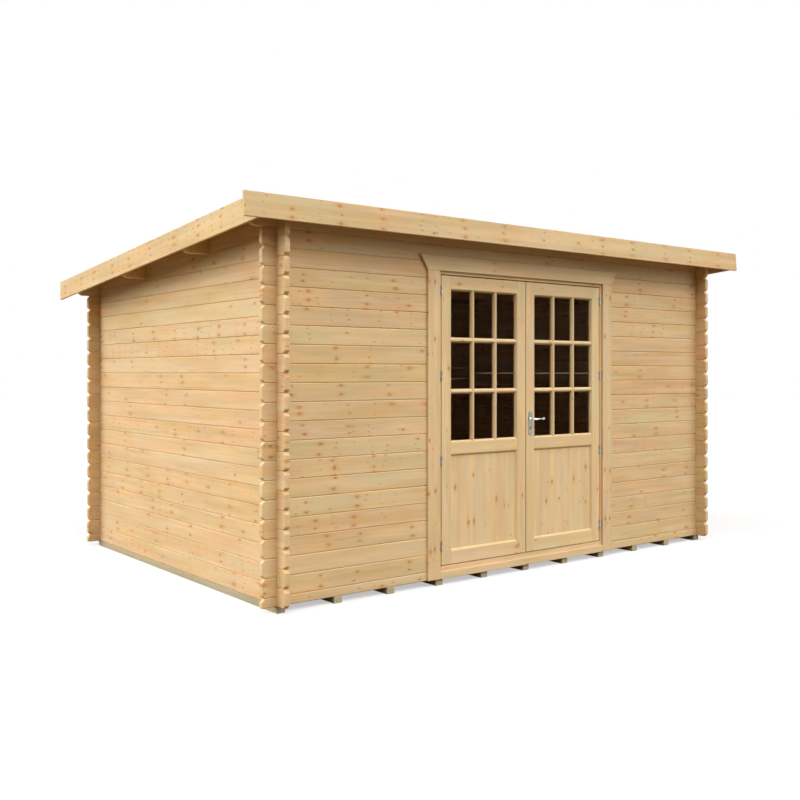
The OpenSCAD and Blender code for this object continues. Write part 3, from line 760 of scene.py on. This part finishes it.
topLog(frontLogs, 0.0, "front_top_log", "topLogFront")
topLog(backLogs, depth - logThick, "back_top_log", "topLogBack")
purlin("front_purlin", "purlinFront")
purlin("back_purlin", "purlinBack")
purlinSlots = []  # from and to along Y, and the lower face
for low, high in (wallBox("front_purlin"), wallBox("back_purlin")):
    purlinSlots.append((low[1] - joint, high[1] + joint, low[2] - joint))


# upper edge of a side log under the roof: roof line - joint
def underRoof(y):
    return roofLine(y) - joint


# the Y logs of one side wall: course j spans j to j + 1 course heights, and the roof line cuts the top ones
def sideLogs(first, last, near, topAt=None):
    start, end = depth / 2 - sideHalf, depth / 2 + sideHalf
    made = []
    for j in range(first, last):
        low = j * course + gap
        high = (j + 1) * course - gap if topAt is None else topAt
        notchAt = depth / 2 - logThick / 2
        lower, upper = logEdges(depth / 2, sideHalf, notchAt, low, high, True, topAt is None)
        for a, b, z in purlinSlots:
            if low < z < high:
                keep = (upper[0] < a) | (upper[0] > b)
                upper = stepped((upper[0][keep], upper[1][keep]), [(a, high, z), (b, z, high)])
        # a purlin that passes below the log's lower edge divides it
        lengths = [(start, min(end, (frontTop - low - logs["feather"]) / math.tan(slope)))]
        for a, b, z in purlinSlots:
            if z <= low and lengths[-1][1] > a:
                c, d = lengths.pop()
                lengths += [(c, a)] + ([(b, d)] if d > b + logs["shortest"] else [])
        kink = (frontTop - joint - high) / math.tan(slope)
        bends = [kink, kink + logs["crease"]]
        for c, d in lengths:
            rings = logRings(lower, upper, c, d, near, near + logThick, 0.0, underRoof, bends)
            made.append(board(rings[..., [1, 0, 2]], "yzx"))  # x and y change places
    return made


for side, near in (("left", -sideX), ("right", sideX - logThick)):
    fixed("logs" + side.title(), sideLogs(0, frontLogs - 1, near), logWood, side + "_wall")
    rake = sideLogs(frontLogs - 1, frontLogs, near)
    rake += sideLogs(frontLogs, frontLogs + 1, near, frontTop + 0.05)
    fixed("rake" + side.title(), rake, logWood, side + "_rake")
print("logs built")


roof = {
    "cover": 0.096,  # width that one roof board covers
    "thick": 0.018,  # roof boards, fascias and bargeboards
    "joint": 0.0006,
    "vee": 0.003,  # on the underside of the boards
    "sawn": 0.0008,  # on their upper edges
    "arris": 0.003,  # on the fascias and bargeboards
    "front": 0.146,  # overhang in front of the wall, along the slope
    "back": 0.276,  # overhang behind the wall
    "fascia": 0.145,  # height of the front fascia
    "barge": 0.147,  # height of a bargeboard
    "up": 0.036,  # upper edges of both above the roof's underside
}


# roof boards side by side, each an outline in X and thickness carried down the slope
def roofBoards():
    low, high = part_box("roof_deck")
    thick, vee, sawn = roof["thick"], roof["vee"], roof["sawn"]
    count = round((high.x - low.x) / roof["cover"])
    edges = np.linspace(low.x, high.x, count + 1)
    end = (depth + roof["back"] - thick - joint) / math.cos(slope)
    made = []
    for a, b in zip(edges[:-1] + roof["joint"] / 2, edges[1:] - roof["joint"] / 2):
        outline = np.array([(a + vee, 0), (b - vee, 0), (b, vee), (b, thick - sawn), (b - sawn, thick),
                            (a + sawn, thick), (a, thick - sawn), (a, vee)])
        x, n = outline[:, 0], outline[:, 1]
        first = np.stack([x, np.full(8, joint - roof["front"]), n], axis=1)
        last = np.stack([x, end - n * math.tan(slope), n], axis=1)
        made.append(board(np.stack([first, last]), "yxz", fromSlope))
    return made


# the front fascia: an oblong square to the slope, carried along X
def fasciaFront():
    low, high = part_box("front_fascia")
    edge = -roof["front"]
    outline = oblong(edge - roof["thick"], roof["up"] - roof["fascia"], edge, roof["up"])
    return [board(bar(outline, low.x, high.x, roof["arris"], "yzx"), "xzy", fromSlope)]


# a bargeboard: an oblong in X and square to the slope, carried down the slope to a plumb end
def bargeboard(node):
    low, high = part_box(node)
    flat = softened(oblong(low.x, roof["up"] - roof["barge"], high.x, roof["up"]), roof["arris"])
    start = joint - roof["front"]
    end = (depth + roof["back"]) / math.cos(slope)
    pinch = 0.0015
    rings = []
    for at, shape in ((start, flat), (end - pinch, flat), (end, drawnIn(flat, pinch))):
        plumb = 0 if at == start else math.tan(slope)
        rings.append(np.stack([shape[:, 0], at - shape[:, 1] * plumb, shape[:, 1]], axis=1))
    return [board(np.stack(rings), "yzx", fromSlope)]


# the board at the back eaves: plumb, its upper edge on the slope
def fasciaBack():
    low, high = wallBox("back_fascia")
    rise = roof["up"] / math.cos(slope)
    near, far = float(roofLine(low[1])) + rise, float(roofLine(high[1])) + rise
    outline = [(low[1], low[2]), (high[1], low[2]), (high[1], far), (low[1], near)]
    return [board(bar(outline, low[0], high[0], 0.002, "yzx"), "xzy")]


# the roof boards wear the darker wood: painted shade
fixed("roofBoards", roofBoards(), shadedRoofWood, "roof_deck")
fixed("fasciaFront", fasciaFront(), fasciaWood, "front_fascia")
fixed("bargeLeft", bargeboard("left_bargeboard"), fasciaWood, "left_bargeboard")
fixed("bargeRight", bargeboard("right_bargeboard"), fasciaWood, "right_bargeboard")
fixed("fasciaBack", fasciaBack(), fasciaWood, "back_fascia")
print("roof built")


floor = {
    "board": 0.112,  # width that one board covers
    "arris": 0.0012,  # on the boards
    "bearers": 11,
    "bearer": 0.060,  # width of a bearer
    "worn": 0.002,  # on its corners
}


# bearers: rough sawn oblongs with worn corners, evenly spaced from end to end
def bearers():
    low, high = wallBox("floor_bearers")
    made = []
    for x in np.linspace(low[0], high[0] - floor["bearer"], floor["bearers"]):
        outline = oblong(x, low[2], x + floor["bearer"], high[2])
        made.append(board(bar(outline, 0.0, depth, floor["worn"], "xzy"), "yxz"))
    return made


# floor boards across the cabin, side by side from front to back
def floorBoards():
    low, high = wallBox("floor_deck")
    edges = np.linspace(low[1], high[1], round((high[1] - low[1]) / floor["board"]) + 1)
    made = []
    for a, b in zip(edges[:-1] + joint, edges[1:] - joint):
        outline = oblong(a, low[2], b, high[2])
        made.append(board(bar(outline, low[0], high[0], floor["arris"], "yzx"), "xyz"))
    return made


fixed("bearers", bearers(), bearerWood, "floor_bearers")
fixed("floorBoards", floorBoards(), floorWood, "floor_deck")
print("floor built")


door = {
    "gap": 0.006,  # between a leaf and its frame
    "frame": 0.035,  # width of a jamb between reveal and logs
    "stop": 0.012,  # how far the stop laps behind the leaves
    "foot": 0.0184,  # the jambs' feet above their lowest edge
    "floorTop": 0.0186,  # the threshold over the floor boards
    "frameArris": 0.0015,
    "trimArris": 0.0025,
    "stile": 0.080,
    "leafArris": 0.0015,
    "eased": 0.0016,  # planed off a leaf's upper edge
    "railArris": 0.0008,
    "groove": 0.009,  # how deep the rails' grooves are
    "tongue": 0.008,  # how far the panel reaches into them
    "panel": 0.016,
    "pane": 0.004,
    "stave": 0.077,
    "staveArris": 0.0004,
    "staveJoint": 0.0001,
    "bead": 0.0135,  # moulding round the openings
    "beadEdge": 0.0015,  # its flat outer edge
    "beadStep": 0.001,  # its step down from the face
    "beadCurve": 0.8,  # 1 a quarter round, less is flatter
    "barWidth": 0.034,
    "barFlat": 0.011,
    "barSlope": (0.35, 0.12),  # shares of the depth over and under its slope
    "uprightStep": 0.002,  # glazing bars' step down from the face
    "levelStep": 0.0024,
}
leafBox = wallBox("right_door_stiles")
leafIn, leafOut = leafBox[0][0], leafBox[1][0]
leafLow, leafHigh = leafBox[0][2], leafBox[1][2]
leafThick = leafBox[1][1] - leafBox[0][1]
openIn, openOut = leafIn + door["stile"], leafOut - door["stile"]
reveal = leafOut + door["gap"]
stopY = leafThick + door["gap"]
stopLow, stopHigh = leafLow + door["stop"], leafHigh - door["stop"]


# a jamb: bar, lip behind the logs and stop behind the leaf in one outline, carried up
def jamb(sign, node, name):
    low, high = wallBox(node)
    out = abs(high[0] if sign > 0 else low[0])
    frameOut = reveal + door["frame"]
    t = logThick + joint
    stopIn = reveal - door["stop"] - door["gap"]
    around = [(reveal, 0), (frameOut, 0), (frameOut, t), (out, t), (out, high[1])]
    plain = around + [(reveal, high[1])]
    withStop = around + [(stopIn, high[1]), (stopIn, stopY), (reveal, stopY)]
    lengths = [
        (withStop, stopLow, stopHigh),
        (plain, stopHigh - joint, high[2]),
        (plain, low[2] + door["foot"], stopLow + step),
    ]
    tone = chance.uniform(0, 1)
    made = []
    for outline, start, end in lengths:
        rings = bar([(sign * x, y) for x, y in outline], start, end, door["frameArris"], "xyz")
        made.append(board(rings, "zxy", tone=tone))
    fixed(name, made, frameWood, node)


# the head or the threshold: an outline in Y and Z carried along X between the jambs
def frameBar(outline, node, name):
    half = reveal - joint
    rings = bar(outline, -half, half, door["frameArris"], "yzx")
    fixed(name, [board(rings, "xzy")], frameWood, node)


jamb(-1, "left_jamb", "jambLeft")
jamb(1, "right_jamb", "jambRight")
frameDeep, headTop = wallBox("frame_head")[1][1:]
headLow, sillTop, over = leafHigh + door["gap"], leafLow - door["gap"], door["floorTop"]
frameBar([(0, headLow), (stopY, headLow), (stopY, stopHigh), (frameDeep, stopHigh), (frameDeep, headTop),
          (0, headTop)], "frame_head", "frameHead")
frameBar([(0, joint), (logThick, joint), (logThick, over), (frameDeep, over), (frameDeep, stopLow),
          (stopY, stopLow), (stopY, sillTop), (0, sillTop)], "threshold", "threshold")


# an upright or level trim board: its CAD box with worn corners
def trim(node, name, axes, grainAxes):
    low, high = wallBox(node)
    i, j, k = ("xyz".index(c) for c in axes)
    rings = bar(oblong(low[i], low[j], high[i], high[j]), low[k], high[k], door["trimArris"], axes)
    fixed(name, [board(rings, grainAxes)], trimWood, node)


# the trim board over the door: an outline with flared ends in X and Z, carried along Y
def trimHead():
    low, high = wallBox("head_trim")
    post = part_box("right_trim")[1].x
    outline = [(-post, low[2]), (post, low[2]), (high[0], high[2]), (low[0], high[2])]
    return [board(bar(outline, low[1], high[1], door["trimArris"], "xzy"), "xzy")]


trim("left_trim", "trimLeft", "xyz", "zxy")
trim("right_trim", "trimRight", "xyz", "zxy")
trim("sill_trim", "trimSill", "yzx", "xzy")
fixed("trimHead", trimHead(), trimWood, "head_trim")
print("door frame built")


# a moulding round an opening: its section carried round four mitred corners, depth = step + slope to the pane
def beadBoards(x0, x1, z0, z1, front, back, mirror):
    width, edge, drop = door["bead"], door["beadEdge"], door["beadStep"]
    deep = abs(back - front)
    t = np.linspace(0, 1, 6)[1:]
    inward = np.concatenate([[0, edge], edge + (width - edge) * t, [width, 0]])
    curve = drop + (deep - 2 * drop) * (1 - np.cos(t * math.pi / 2)) ** door["beadCurve"]
    y = front + np.sign(back - front) * np.concatenate([[drop, drop], curve, [deep, deep]])
    at = ((x0, z0, 1, 1), (x1, z0, -1, 1), (x1, z1, -1, -1), (x0, z1, 1, -1))
    corners = np.stack([np.stack([x + dx * inward, y, z + dz * inward], axis=1) for x, z, dx, dz in at])
    corners[..., 0] *= mirror
    lengths = zip(corners, np.roll(corners, -1, axis=0), ("xzy", "zxy") * 2)
    return [board(np.stack([a, b]), axes) for a, b, axes in lengths]


# a glazing bar: flat at the face, sloping down to the pane on both sides
def glazingBar(at, start, end, front, back, upright, mirror):
    w, f = door["barWidth"] / 2, door["barFlat"] / 2
    face = front + np.sign(back - front) * (door["uprightStep"] if upright else door["levelStep"])
    underFlat, abovePane = door["barSlope"]
    slopeEnd, foot = face + (back - face) * underFlat, back - (back - face) * abovePane
    half = [(w, back), (w, foot), ((w + f) / 2, slopeEnd), (f, face)]
    outline = [(at - x, y) for x, y in half] + [(at + x, y) for x, y in half[::-1]]
    rings = np.stack([np.column_stack([outline, np.full(len(outline), v)]) for v in (start, end)])
    if not upright:
        rings = rings[..., [2, 1, 0]]
    return board(rings * (mirror, 1, 1), "zxy" if upright else "xzy")


# middle of glazing bar i between a and b: a + bead + i panes and i - 1/2 bars, the panes all equal
def barPlace(a, b, i):
    pane = (b - a - 2 * door["bead"] - 2 * door["barWidth"]) / 3
    return a + door["bead"] + i * pane + (i - 0.5) * door["barWidth"]


# lower and upper edge of an opening in a leaf: the sheet that fills it, less the groove on both sides
def opening(node):
    low, high = wallBox(node)
    return low[2] + door["groove"], high[2] - door["groove"]


# one leaf: stiles, rails, panel of staves, beads and glazing bars, drawn for the right leaf and mirrored
def doorLeaf(side, mirror):
    body = side + "_door"
    high = leafHigh - door["eased"]
    glassLow, glassHigh = opening(body + "_glass")
    panelLow, panelHigh = opening(body + "_panel")
    stiles = []
    for near in (leafIn, leafOut - door["stile"]):
        a, b = sorted((mirror * near, mirror * (near + door["stile"])))
        rings = bar(oblong(a, 0, b, leafThick), leafLow, high, door["leafArris"], "xyz")
        stiles.append(board(rings, "zxy"))
    build(side + "Stiles", stiles, doorWood, body, [body + "_stiles"])
    rails = []
    a, b = sorted((mirror * (openIn + joint), mirror * (openOut - joint)))
    for bottom, top in ((leafLow, panelLow), (panelHigh, glassLow), (glassHigh, high)):
        rails.append(board(bar(oblong(0, bottom, leafThick, top), a, b, door["railArris"], "yzx"), "xzy"))
    build(side + "Rails", rails, doorWood, body, [body + "_rails"])
    face = (leafThick - door["panel"]) / 2
    tongue, gapHalf = door["tongue"], door["staveJoint"] / 2
    count = round((openOut - openIn) / door["stave"])
    edges = mirror * np.linspace(openIn - tongue, openOut + tongue, count + 1)
    staves = []
    for ends in zip(edges[:-1], edges[1:]):
        outline = oblong(min(ends) + gapHalf, face, max(ends) - gapHalf, leafThick - face)
        rings = bar(outline, panelLow - tongue, panelHigh + tongue, door["staveArris"], "xyz")
        staves.append(board(rings, "zxy"))
    build(side + "Panel", staves, panelWood, body, [body + "_panel"])
    # mouldings and bars, outside and inside
    pane = (leafThick - door["pane"]) / 2
    middle = door["bead"] / 2
    mouldings = []
    for front, back in ((0.0, pane), (leafThick, leafThick - pane)):
        mouldings += beadBoards(openIn, openOut, glassLow, glassHigh, front, back, mirror)
        for i in (1, 2):
            x, z = barPlace(openIn, openOut, i), barPlace(glassLow, glassHigh, i)
            mouldings.append(glazingBar(x, glassLow + middle, glassHigh - middle, front, back, True, mirror))
            mouldings.append(glazingBar(z, openIn + middle, openOut - middle, front, back, False, mirror))
    for front, back in ((0.0, face), (leafThick, leafThick - face)):
        mouldings += beadBoards(openIn, openOut, panelLow, panelHigh, front, back, mirror)
    build(side + "Mouldings", mouldings, doorWood, body)
    refinish(body + "_glass", paneGlass)


doorLeaf("left", -1)
doorLeaf("right", 1)
print("door leaves built")


hinge = {
    "count": 4,
    "height": 0.070,
    "radius": 0.006,
    "dome": 0.003,
    "chamfer": 0.0006,  # where the two halves meet
    "tip": 0.0008,  # radius left at the top of the dome
    "aside": 0.003,  # from the leaf's edge to the hinge's axis
    "lowest": 0.129,  # middle of the lowest above the leaf's lower edge
    "highest": 0.104,  # and of the highest below its upper edge
    "stud": 0.034,
    "studRadius": 0.0026,
    "thread": 0.0003,
    "studTurn": 30,  # from the wall's plane, in degrees
}


# half of a barrel: a turned profile from a chamfered joint to a dome, radius = r cos at height = d sin
def knuckle(low, high, domeUp):
    r, d, c = hinge["radius"], hinge["dome"], hinge["chamfer"]
    t = np.linspace(0, math.pi / 2, 6)
    height = np.concatenate([[0, c], high - low - d + d * np.sin(t)])
    radius = np.concatenate([[r - c, r], np.maximum(r * np.cos(t), hinge["tip"])])
    if domeUp:
        return turned(np.stack([low + height, radius], axis=1), 28)
    return turned(np.stack([high - height, radius], axis=1)[::-1], 28)


# a screw stud: a turned rod with thread ridges, laid from the hinge axis into the wood at an angle
def stud(turn, at):
    along = np.linspace(0, hinge["stud"], 60)
    r = hinge["studRadius"] + hinge["thread"] * np.sin(np.arange(60) * math.pi / 2)
    rod = turned(np.stack([along, r], axis=1), 12)
    c, s = math.cos(turn), math.sin(turn)
    x = at[0] + rod[..., 2] * c - rod[..., 0] * s
    y = at[1] + rod[..., 2] * s + rod[..., 0] * c
    return np.stack([x, y, at[2] + rod[..., 1]], axis=-1)


# all halves on one side: lower halves on the frame, upper halves on the leaf, spaced evenly
def hingeSet(side, mirror):
    h, turn = hinge["height"] / 2, math.radians(hinge["studTurn"])
    toFrame, toLeaf = (turn, math.pi - turn)[::mirror]
    axis = np.array([mirror * (leafOut + hinge["aside"]), -hinge["radius"], 0])
    onFrame, onLeaf = [], []
    for z in np.linspace(leafLow + hinge["lowest"], leafHigh - hinge["highest"], hinge["count"]):
        for made, shape in (
            (onFrame, knuckle(z - h, z - joint, False) + axis),
            (onLeaf, knuckle(z + joint, z + h, True) + axis),
            (onFrame, stud(toFrame, axis + (0, 0, z - h / 2))),
            (onLeaf, stud(toLeaf, axis + (0, 0, z + h / 2))),
        ):
            made.append(board(shape, "zxy", smooth=True))
    build(side + "HingeFrame", onFrame, hingeSteel, "cabin", [side + "_frame_hinges"])
    build(side + "HingeLeaf", onLeaf, hingeSteel, side + "_door", [side + "_door_hinges"])


hingeSet("left", -1)
hingeSet("right", 1)
print("hinges built")


handle = {
    "fromEdge": 0.040,  # the lever's axis from the leaf's inner edge
    "height": 0.953,  # and above its lower edge
    "plate": 0.0025,  # thickness
    "plateWide": 0.040,
    "plateHigh": 0.173,
    "plateUp": 0.054,  # upper end above the axis
    "plateEdge": 0.0008,  # rounding
    "neckHole": 0.0098,  # radius
    "keyDown": 0.061,  # keyhole's middle under the axis
    "keyRadius": 0.0054,
    "keyFoot": (0.0035, 0.074),  # half its width at the foot, and the foot's depth under the axis
    "screw": 0.010,  # beyond the middle of the plate's round end
    # a screw's head: height over the plate and radius
    "screwHead": [(-0.0004, 0.0034), (0.0002, 0.0034), (0.0007, 0.0030), (0.0010, 0.0022), (0.0011, 0.0010)],
    "core": (0.0068, 0.0012),  # painted shade behind the keyhole, a near-black sheet: half its width, and its thickness
    "shadeSheetBack": 0.0004,  # its inner face off the wood
    "shadeSheetEnds": (0.0765, 0.0535),  # its ends under the axis
    # the neck with its collar: height over the wood and radius
    "neck": [(0.0006, 0.0088), (0.0032, 0.0088), (0.0034, 0.0118), (0.0056, 0.0122),
             (0.0072, 0.0110), (0.0084, 0.0088), (0.020, 0.0074), (0.033, 0.0080),
             (0.0375, 0.0088), (0.0415, 0.0084), (0.0438, 0.0064), (0.0445, 0.0030)],
    "out": 0.040,  # from the wood to the arm
    "length": 0.108,
    "start": -0.004,  # where the arm begins behind the axis
    "scroll": 0.0070,  # radius of the curl at the tip
    "scrollWall": 0.003,  # room kept past the curl
    "curl": 300,  # how far round it turns, in degrees
    "shrink": 0.35,  # how much tighter the curl gets
    "thick": 0.0068,  # half the arm's height at the neck
    "thin": 0.0026,  # and near the tip
    "deep": (0.0045, 0.0031),  # half its depth, there and there
    "taper": 0.0010,  # lost round the curl
    "rise": (0.0010, -0.0024, -0.0052),  # the arm's height at the neck, its dip and the droop of its end
}
axisX = leafIn + handle["fromEdge"]
axisZ = leafLow + handle["height"]


# a closed curve of points for the plate's outline or one of its holes
def addLoop(curve, points):
    spline = curve.splines.new("POLY")
    spline.points.add(len(points) - 1)
    corners = np.column_stack([points, np.zeros(len(points)), np.ones(len(points))])
    spline.points.foreach_set("co", corners.ravel())
    spline.use_cyclic_u = True


# an arc of points: middle + r (cos, sin)
def arc(x, y, r, start, end, count=17):
    t = np.radians(np.linspace(start, end, count))
    return np.stack([x + r * np.cos(t), y + r * np.sin(t)], axis=1)


# a turned shape laid out from a leaf's face: (axis + x, face + its height, axis + up + y)
def fromFace(rings, face, sign, up=0.0):
    return np.stack([axisX + rings[..., 0], face + sign * rings[..., 2], axisZ + up + rings[..., 1]], axis=-1)


# the mesh of one plate: a long rounded outline with the neck's hole and a keyhole, filled and bevelled
def plateMesh(half, up, down):
    b = handle["plateEdge"]
    curve = bpy.data.curves.new("plateCurve", "CURVE")
    curve.dimensions = "2D"
    curve.fill_mode = "BOTH"
    curve.extrude = handle["plate"] / 2 - b
    curve.bevel_depth = b
    curve.bevel_resolution = 2
    addLoop(curve, np.concatenate([arc(0, up, half - b, 0, 180), arc(0, -down, half - b, 180, 360)]))
    addLoop(curve, arc(0, 0, handle["neckHole"] + b, 0, 345, 24))
    key = arc(0, -handle["keyDown"], handle["keyRadius"] + b, -50, 230, 19)
    footX, footZ = handle["keyFoot"][0] + b, -handle["keyFoot"][1] - b
    addLoop(curve, np.concatenate([key, [(-footX, footZ), (footX, footZ)]]))
    holder = bpy.data.objects.new("plateHolder", curve)
    mesh = bpy.data.meshes.new_from_object(holder)
    points = np.empty(len(mesh.vertices) * 3, np.float32)
    mesh.vertices.foreach_get("co", points)
    loops = np.empty(len(mesh.loops), np.int32)
    mesh.loops.foreach_get("vertex_index", loops)
    sizes = np.empty(len(mesh.polygons), np.int32)
    mesh.polygons.foreach_get("loop_total", sizes)
    bpy.data.objects.remove(holder)
    return points.reshape(-1, 3).astype(float), loops, sizes


# both plates with their screws: the plate's mesh set on each face of the leaf, x and y across and up
def plates():
    half, thick = handle["plateWide"] / 2, handle["plate"]
    up = handle["plateUp"] - half
    down = handle["plateHigh"] - handle["plateUp"] - half
    points, loops, sizes = plateMesh(half, up, down)
    made = []
    for y in (-thick / 2 - joint, leafThick + thick / 2 + joint):
        verts = fromWall(fromFace(points, y, 1))
        turnedLoops, turnedSizes = outward(verts, loops, sizes)
        made.append({
            "verts": verts, "loops": turnedLoops, "sizes": turnedSizes, "grain": verts - verts.mean(axis=0),
            "tone": np.full(len(verts), 0.5), "smooth": False,
        })
    for sign, face in ((-1, -thick - joint), (1, leafThick + thick + joint)):
        for z in (up + handle["screw"], -down - handle["screw"]):
            head = turned(handle["screwHead"], 20)
            made.append(board(fromFace(head, face, sign, z), "zxy", smooth=True))
    return made


# painted shade behind each keyhole: a near-black oblong a little wider than the hole, sunk into the plate,
# standing for the dark inside of the lock
def keyholeShadeSheets():
    wide, thick = handle["core"]
    low, high = (axisZ - end for end in handle["shadeSheetEnds"])
    made = []
    for y in (-handle["shadeSheetBack"] - thick, leafThick + handle["shadeSheetBack"]):
        section = oblong(axisX - wide, y, axisX + wide, y + thick)
        made.append(board(bar(section, low, high, 0.0003), "zxy"))
    return made


# a lever: a turned neck with a collar, and an arm that thins, dips and curls up into a scroll
def lever(sign, face):
    thick, thin, taper = handle["thick"], handle["thin"], handle["taper"]
    level, dip, droop = handle["rise"]
    tipX = handle["length"] - handle["scroll"] - handle["scrollWall"]
    t = np.linspace(0, 1, 48)
    x = handle["start"] + (tipX - handle["start"]) * t
    drooping = np.clip((t - 0.6) / 0.4, 0, 1) ** 2
    z = level + dip * np.sin(math.pi * np.clip(t / 0.66, 0, 1)) ** 2 + droop * drooping
    turn = np.linspace(0, 1, 36)[1:]
    angle = -math.pi / 2 + turn * math.radians(handle["curl"])
    r = handle["scroll"] * (1 - handle["shrink"] * turn)
    x = np.concatenate([x, tipX + r * np.cos(angle)])
    z = np.concatenate([z, z[-1] + handle["scroll"] + r * np.sin(angle)])
    path = np.stack([x, np.full(len(x), face + sign * handle["out"]), z], axis=1) + (axisX, 0, axisZ)
    # slim: 0 at the neck to 1 along a smooth step
    s = np.clip((t - 0.32) / 0.32, 0, 1)
    slim = s ** 2 * (3 - 2 * s)
    tall = np.concatenate([thick - (thick - thin) * slim, thin - taper * turn])
    deepNeck, deepTip = handle["deep"]
    deep = np.concatenate([deepNeck - (deepNeck - deepTip) * slim, deepTip - taper * turn])
    for size in (tall, deep):  # rounds off both ends
        size[:5] *= np.array([0.35, 0.68, 0.85, 0.95, 1.0])
        size[-4:] *= np.array([1.0, 0.95, 0.8, 0.5])
    parts = (fromFace(turned(handle["neck"], 32), face, sign), swept(path, tall, deep, 20))
    return [board(part, "xzy", smooth=True) for part in parts]


build("handlePlates", plates(), plateSteel, "right_door", ["handle_plates"])
# the near-black sheets behind the keyholes: painted shade
build("keyholeShadeSheets", keyholeShadeSheets(), keyholeShadeSteel, "right_door")
build("leverOuter", lever(-1, 0.0), handleSteel, "handle", ["outer_lever"])
build("leverInner", lever(1, leafThick), handleSteel, "handle", ["inner_lever"])
refinish("spindle", handleSteel)
print("handle built")


studio = {
    # lamps: turn from the front (left is minus), height above the horizon, strength, softness
    "lamps": [(-135, 32, 1.8, 40), (-100, 25, 1.75, 45), (-35, 54, 1.3, 45),
              (10, 54, 1.35, 45), (30, 30, 0.85, 45), (55, 10, 0.5, 36), (125, 8, 1.15, 40)],
    "floorHalf": 40.0,
    "bounce": (0.14, 0.10, 0.055, 1),  # how much light the floor gives back
    "glow": 0.5,  # how far the floor that is seen stays white in the shadow
    "lens": 43.35,
    "shift": -0.034,
    "turn": -37.76,
    "place": (-4.940, -6.3844, 1.413),
}


# an object for a mesh, lamp or camera, put into the scene
def addObject(name, data):
    made = bpy.data.objects.new(name, data)
    bpy.context.scene.collection.objects.link(made)
    return made


# 1 where the camera looks, straight or by way of metal and glass, and 0 where the surroundings act as a light
def seenDirectly(tree):
    path = addNode(tree, "ShaderNodeLightPath").outputs
    shown = calc(tree, "MAXIMUM", path["Is Glossy Ray"], path["Is Transmission Ray"])
    shown = calc(tree, "MAXIMUM", path["Is Camera Ray"], shown)
    return times(tree, shown, calc(tree, "LESS_THAN", path["Diffuse Depth"], 0.5))


# a plain floor: a square round the origin, pale where it is seen and warm where it lights the object
def addFloor():
    r, glow = studio["floorHalf"], studio["glow"]
    ground = bpy.data.meshes.new("ground")
    ground.from_pydata([(-r, -r, 0), (r, -r, 0), (r, r, 0), (-r, r, 0)], [], [(0, 1, 2, 3)])
    addObject("ground", ground)
    paper, tree, shader = startMaterial("paper")[:3]
    seen = seenDirectly(tree)
    white = mixColor(tree, seen, studio["bounce"], (1 - glow, 1 - glow, 1 - glow, 1))
    tree.links.new(white, shader.inputs["Base Color"])
    shine = mixColor(tree, seen, (0, 0, 0, 1), (glow, glow, glow, 1))
    tree.links.new(shine, shader.inputs["Emission Color"])
    shader.inputs["Emission Strength"].default_value = 1.0
    shader.inputs["Roughness"].default_value = 1.0
    shader.inputs["Specular IOR Level"].default_value = 0.0
    ground.materials.append(paper)


# soft suns round the cabin: each turned about the vertical and tipped by 90 degrees less its height
def addLamps():
    for turn, height, strength, softness in studio["lamps"]:
        sun = bpy.data.lights.new("lamp", "SUN")
        sun.energy = strength
        sun.angle = math.radians(softness)
        addObject("lamp", sun).rotation_euler = (math.radians(90 - height), 0, math.radians(turn))


# a world that is white where it is seen and gives no light
def addWorld():
    world = bpy.data.worlds.new("studio")
    world.use_nodes = True
    back = world.node_tree.nodes["Background"]
    world.node_tree.links.new(seenDirectly(world.node_tree), back.inputs["Strength"])
    back.inputs["Color"].default_value = (1, 1, 1, 1)
    bpy.context.scene.world = world


# the camera: level, turned about the vertical, its frame shifted down
def addCamera():
    lens = bpy.data.cameras.new("camera")
    lens.lens = studio["lens"]
    lens.shift_y = studio["shift"]
    camera = addObject("camera", lens)
    camera.location = studio["place"]
    camera.rotation_euler = (math.radians(90), 0, math.radians(studio["turn"]))
    bpy.context.scene.camera = camera


addFloor()
addLamps()
addWorld()
addCamera()
bpy.context.scene.view_settings.view_transform = "Standard"
print("studio set")
